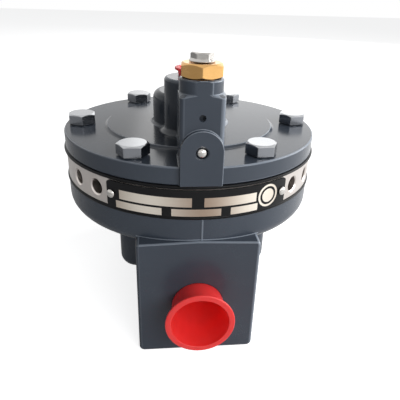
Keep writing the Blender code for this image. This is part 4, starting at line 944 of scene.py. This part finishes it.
def makePaint(name, rough):
    look = paintLook
    paint = Finish(name, IOR=1.36)
    x, y, z = paint.axes()
    patch = paint.noise(look["patchScale"], 3.0)
    peel = paint.noise(look["peelScale"], 2.0)
    grain = paint.noise(look["grainScale"], 3.0, 0.65)
    pit = paint.add("ShaderNodeTexVoronoi", {}, {"Vector": paint.place, "Scale": look["pitScale"]})
    share = look["grainShare"]
    if rough:
        share = (z > look["sandBottom"] * mm) * look["sandShare"] + look["grainShare"]
    height = peel * 0.6 + (grain + pit) * share
    # painted edge highlights stored on the mesh
    edge = paint.add("ShaderNodeAttribute", {"attribute_name": "edgeHighlightShare"}, {}, "Fac")
    highlights = edgeHighlights
    if rough:                                   # painted highlights along the mould's parting line, and along the joint of bowl and block
        s = lowerSizes
        slant = math.tan(math.radians(s["ridgeShift"]))
        line = (x + y * slant).maths("ABSOLUTE") < highlights["partingHighlightHalf"] * mm
        edge = edge.larger(line * (z > (s["blockTop"] + 0.2) * mm) * highlights["partingHighlight"])
        across = x.maths("ABSOLUTE")
        above = z + across * (s["blockFall"] / s["blockHalfWidth"]) - s["blockTop"] * mm
        joint = above.within(highlights["jointLow"] * mm, highlights["jointHigh"] * mm)
        joint = joint * (across < s["blockHalfWidth"] * mm)
        # the painted highlight at the joint grows brighter towards the right
        edge = edge.larger(joint * (x * highlights["jointHighlightRight"] + highlights["joint"]))
    # the painted highlights lighten the paint's colour
    paint.set("Base Color", paint.mix(edge, paint.mix(patch, look["dark"], look["light"]), highlights["colour"]))
    paint.set("Roughness", patch * 0.08 + grain * 0.08 + look["roughBase" if rough else "smoothBase"])
    paint.set("Normal", paint.bump(height, look["bumpStrength"], look["bumpDepth"]))
    return paint.material


# shadedFlats is a painted shade for the sides of the screw heads
metalLook = {
    "patchScale": 90.0, "grainScale": 1800.0, "lineStretch": 4.0, "bumpStrength": 0.15,
    "bumpDepth": 0.03 * mm, "shadedFlats": (0.24, 0.25, 0.27),
}


def makeMetal(name, dark, light, rough, lines=0.0, shadedBelow=None):
    look = metalLook
    metal = Finish(name, Metallic=1.0)
    patch = metal.noise(look["patchScale"], 3.0)
    grain = metal.noise(look["grainScale"], 3.0, 0.6)
    height = grain
    if lines:                                   # fine marks of the lathe, around Z
        across = look["lineStretch"]
        height = grain * 0.3 + metal.noise(1.0, 4.0, 0.7, metal.stretched((across, across, lines)))
    colour = metal.mix(patch, dark, light)
    # painted shade: the flats below this height are darker than the top
    if shadedBelow is not None:
        x, y, z = metal.axes()
        colour = metal.mix(z < shadedBelow, colour, look["shadedFlats"])
    metal.set("Base Color", colour)
    metal.set("Roughness", patch * 0.08 + height * 0.10 + rough)
    metal.set("Normal", metal.bump(height, look["bumpStrength"], look["bumpDepth"]))
    return metal.material


plainLook = {"patchScale": 60.0, "grainScale": 1400.0, "bumpDepth": 0.03 * mm}


def makePlain(name, dark, light, rough, strength, **settings):
    look = plainLook
    plain = Finish(name, **settings)
    patch = plain.noise(look["patchScale"], 3.0)
    grain = plain.noise(look["grainScale"], 3.0, 0.6)
    plain.set("Base Color", plain.mix(patch, dark, light))
    plain.set("Roughness", patch * 0.10 + grain * 0.08 + rough)
    plain.set("Normal", plain.bump(grain, strength, look["bumpDepth"]))
    return plain.material


plateLook = {
    # painted reflection: brown and cream bands on the bare metal, by angle around the plate
    "patchScale": 50.0, "brush": (60.0, 60.0, 9000.0), "reflectionBandAngle": 1.5, "reflectionBandTurns": 8.0, "reflectionBandShare": 0.38,
    "blackDark": (0.006, 0.006, 0.007), "blackLight": (0.012, 0.012, 0.013),
    "metalReflectedBrown": (0.34, 0.235, 0.17), "metalReflectedCream": (0.92, 0.86, 0.76), "bumpDepth": 0.03 * mm,
}


def makePlateFinish():  # black paint with bare metal in the fields, the ring and the disc; the bare metal shows painted reflections in brown and cream bands around the plate
    s, look = plateSizes, plateLook
    plate = Finish("nameplateBlack", IOR=1.25)
    x, y, z = plate.axes()
    angle = x.maths("ARCTAN2", y * -1.0) * math.degrees(1.0)
    height = z * (1.0 / mm) - (ringLow + s["lowMargin"])
    bare = plate.fixed(0.0)
    for left, right, low, high in s["fields"]:
        bare = bare.larger(angle.within(left, right) * height.within(low, high))
    line, middle, outer, inner, disc = s["disc"]
    across = (angle - line) * (math.radians(1.0) * s["inner"])
    away = (across * across + (height - middle) * (height - middle)).maths("SQRT")
    outward = (x * x + y * y).maths("SQRT")
    front = outward > (s["inner"] + 0.6 * s["thickness"]) * mm
    bare = bare.larger(away.within(inner, outer)).larger(away < disc) * front
    brushed = plate.noise(1.0, 4.0, 0.7, plate.stretched(look["brush"]))
    patch = plate.noise(look["patchScale"], 3.0)
    # painted reflection: brown and cream bands that turn with the angle around the plate
    reflectionWave = ((angle - look["reflectionBandAngle"]) * math.radians(look["reflectionBandTurns"])).maths("COSINE")
    reflectionBand = reflectionWave * -look["reflectionBandShare"] + look["reflectionBandShare"]
    black = plate.mix(patch, look["blackDark"], look["blackLight"])
    metal = plate.mix(brushed * 0.25 + reflectionBand, look["metalReflectedBrown"], look["metalReflectedCream"])
    plate.set("Base Color", plate.mix(bare, black, metal))
    plate.set("Metallic", bare)
    plate.set("Roughness", brushed * 0.14 + patch * 0.06 + 0.20)
    plate.set("Normal", plate.bump(brushed * 0.25 - bare * 2.0, 0.3, look["bumpDepth"]))
    return plate.material


finishes = {
    "castingRough": makePaint("castingRough", True),
    "castingSmooth": makePaint("castingSmooth", False),
    "ringAluminium": makeMetal("ringAluminium", (0.56, 0.51, 0.475), (0.67, 0.63, 0.60), 0.22, lines=1800.0),
    "innerAluminium": makeMetal("innerAluminium", (0.60, 0.59, 0.58), (0.70, 0.69, 0.68), 0.30, lines=1200.0),
    "zincPlate": makeMetal("zincPlate", (0.40, 0.41, 0.42), (0.52, 0.53, 0.55), 0.14,
                           shadedBelow=headTop - screwSizes["crown"] * mm),
    "brass": makeMetal("brass", (0.62, 0.34, 0.11), (0.78, 0.48, 0.20), 0.17),
    "machinedSteel": makeMetal("machinedSteel", (0.48, 0.46, 0.43), (0.62, 0.60, 0.58), 0.10, lines=900.0),
    "springSteel": makeMetal("springSteel", (0.38, 0.38, 0.39), (0.50, 0.50, 0.52), 0.25),
    "blackRubber": makePlain("blackRubber", (0.004, 0.004, 0.005), (0.009, 0.009, 0.010), 0.24, 0.35,
                             Specular_IOR_Level=0.12),
    "capRed": makePlain("capRed", (0.88, 0.030, 0.030), (0.96, 0.045, 0.042), 0.30, 0.15,
                        Subsurface_Weight=0.30, Subsurface_Scale=0.004),
    "nameplateBlack": makePlateFinish(),
}
carried = {  # nodes that keep the frame's own mesh
    "innerAluminium": ("diaphragm_hub", "upper_diaphragm_plate", "lower_diaphragm_plate"),
    "blackRubber": ("upper_diaphragm", "lower_diaphragm", "bypass_o_ring", "seat_o_ring", "supply_valve_disc",
                    "exhaust_valve_plug"),
    "zincPlate": ("hub_nut",),
    "brass": ("exhaust_seat", "supply_seat"),
    "machinedSteel": ("valve_stem", "disc_retainer"),
    "springSteel": ("valve_spring", "bias_spring"),
}
for name, nodes in carried.items():
    for node in nodes:
        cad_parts[node].data.materials.clear()
        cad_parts[node].data.materials.append(finishes[name])
print("materials are ready")

makeLowerCasing(finishes["castingRough"])
print("lower casing is made")
makeRing(finishes["ringAluminium"])
makeBeads(finishes["blackRubber"])
print("ring and diaphragm edges are made")
makeUpperCasing(finishes["castingSmooth"])
print("upper casing is made")
makeCapScrews(finishes["zincPlate"])
makeBonnet(finishes["brass"])
makeNeedle(finishes["machinedSteel"])
makeBall(finishes["machinedSteel"])
print("screws, bonnet and ball are made")
makeNameplate(finishes["nameplateBlack"])
makeDriveScrews(finishes["machinedSteel"])
print("nameplate is made")
makeCaps(finishes["capRed"])
print("caps are made")
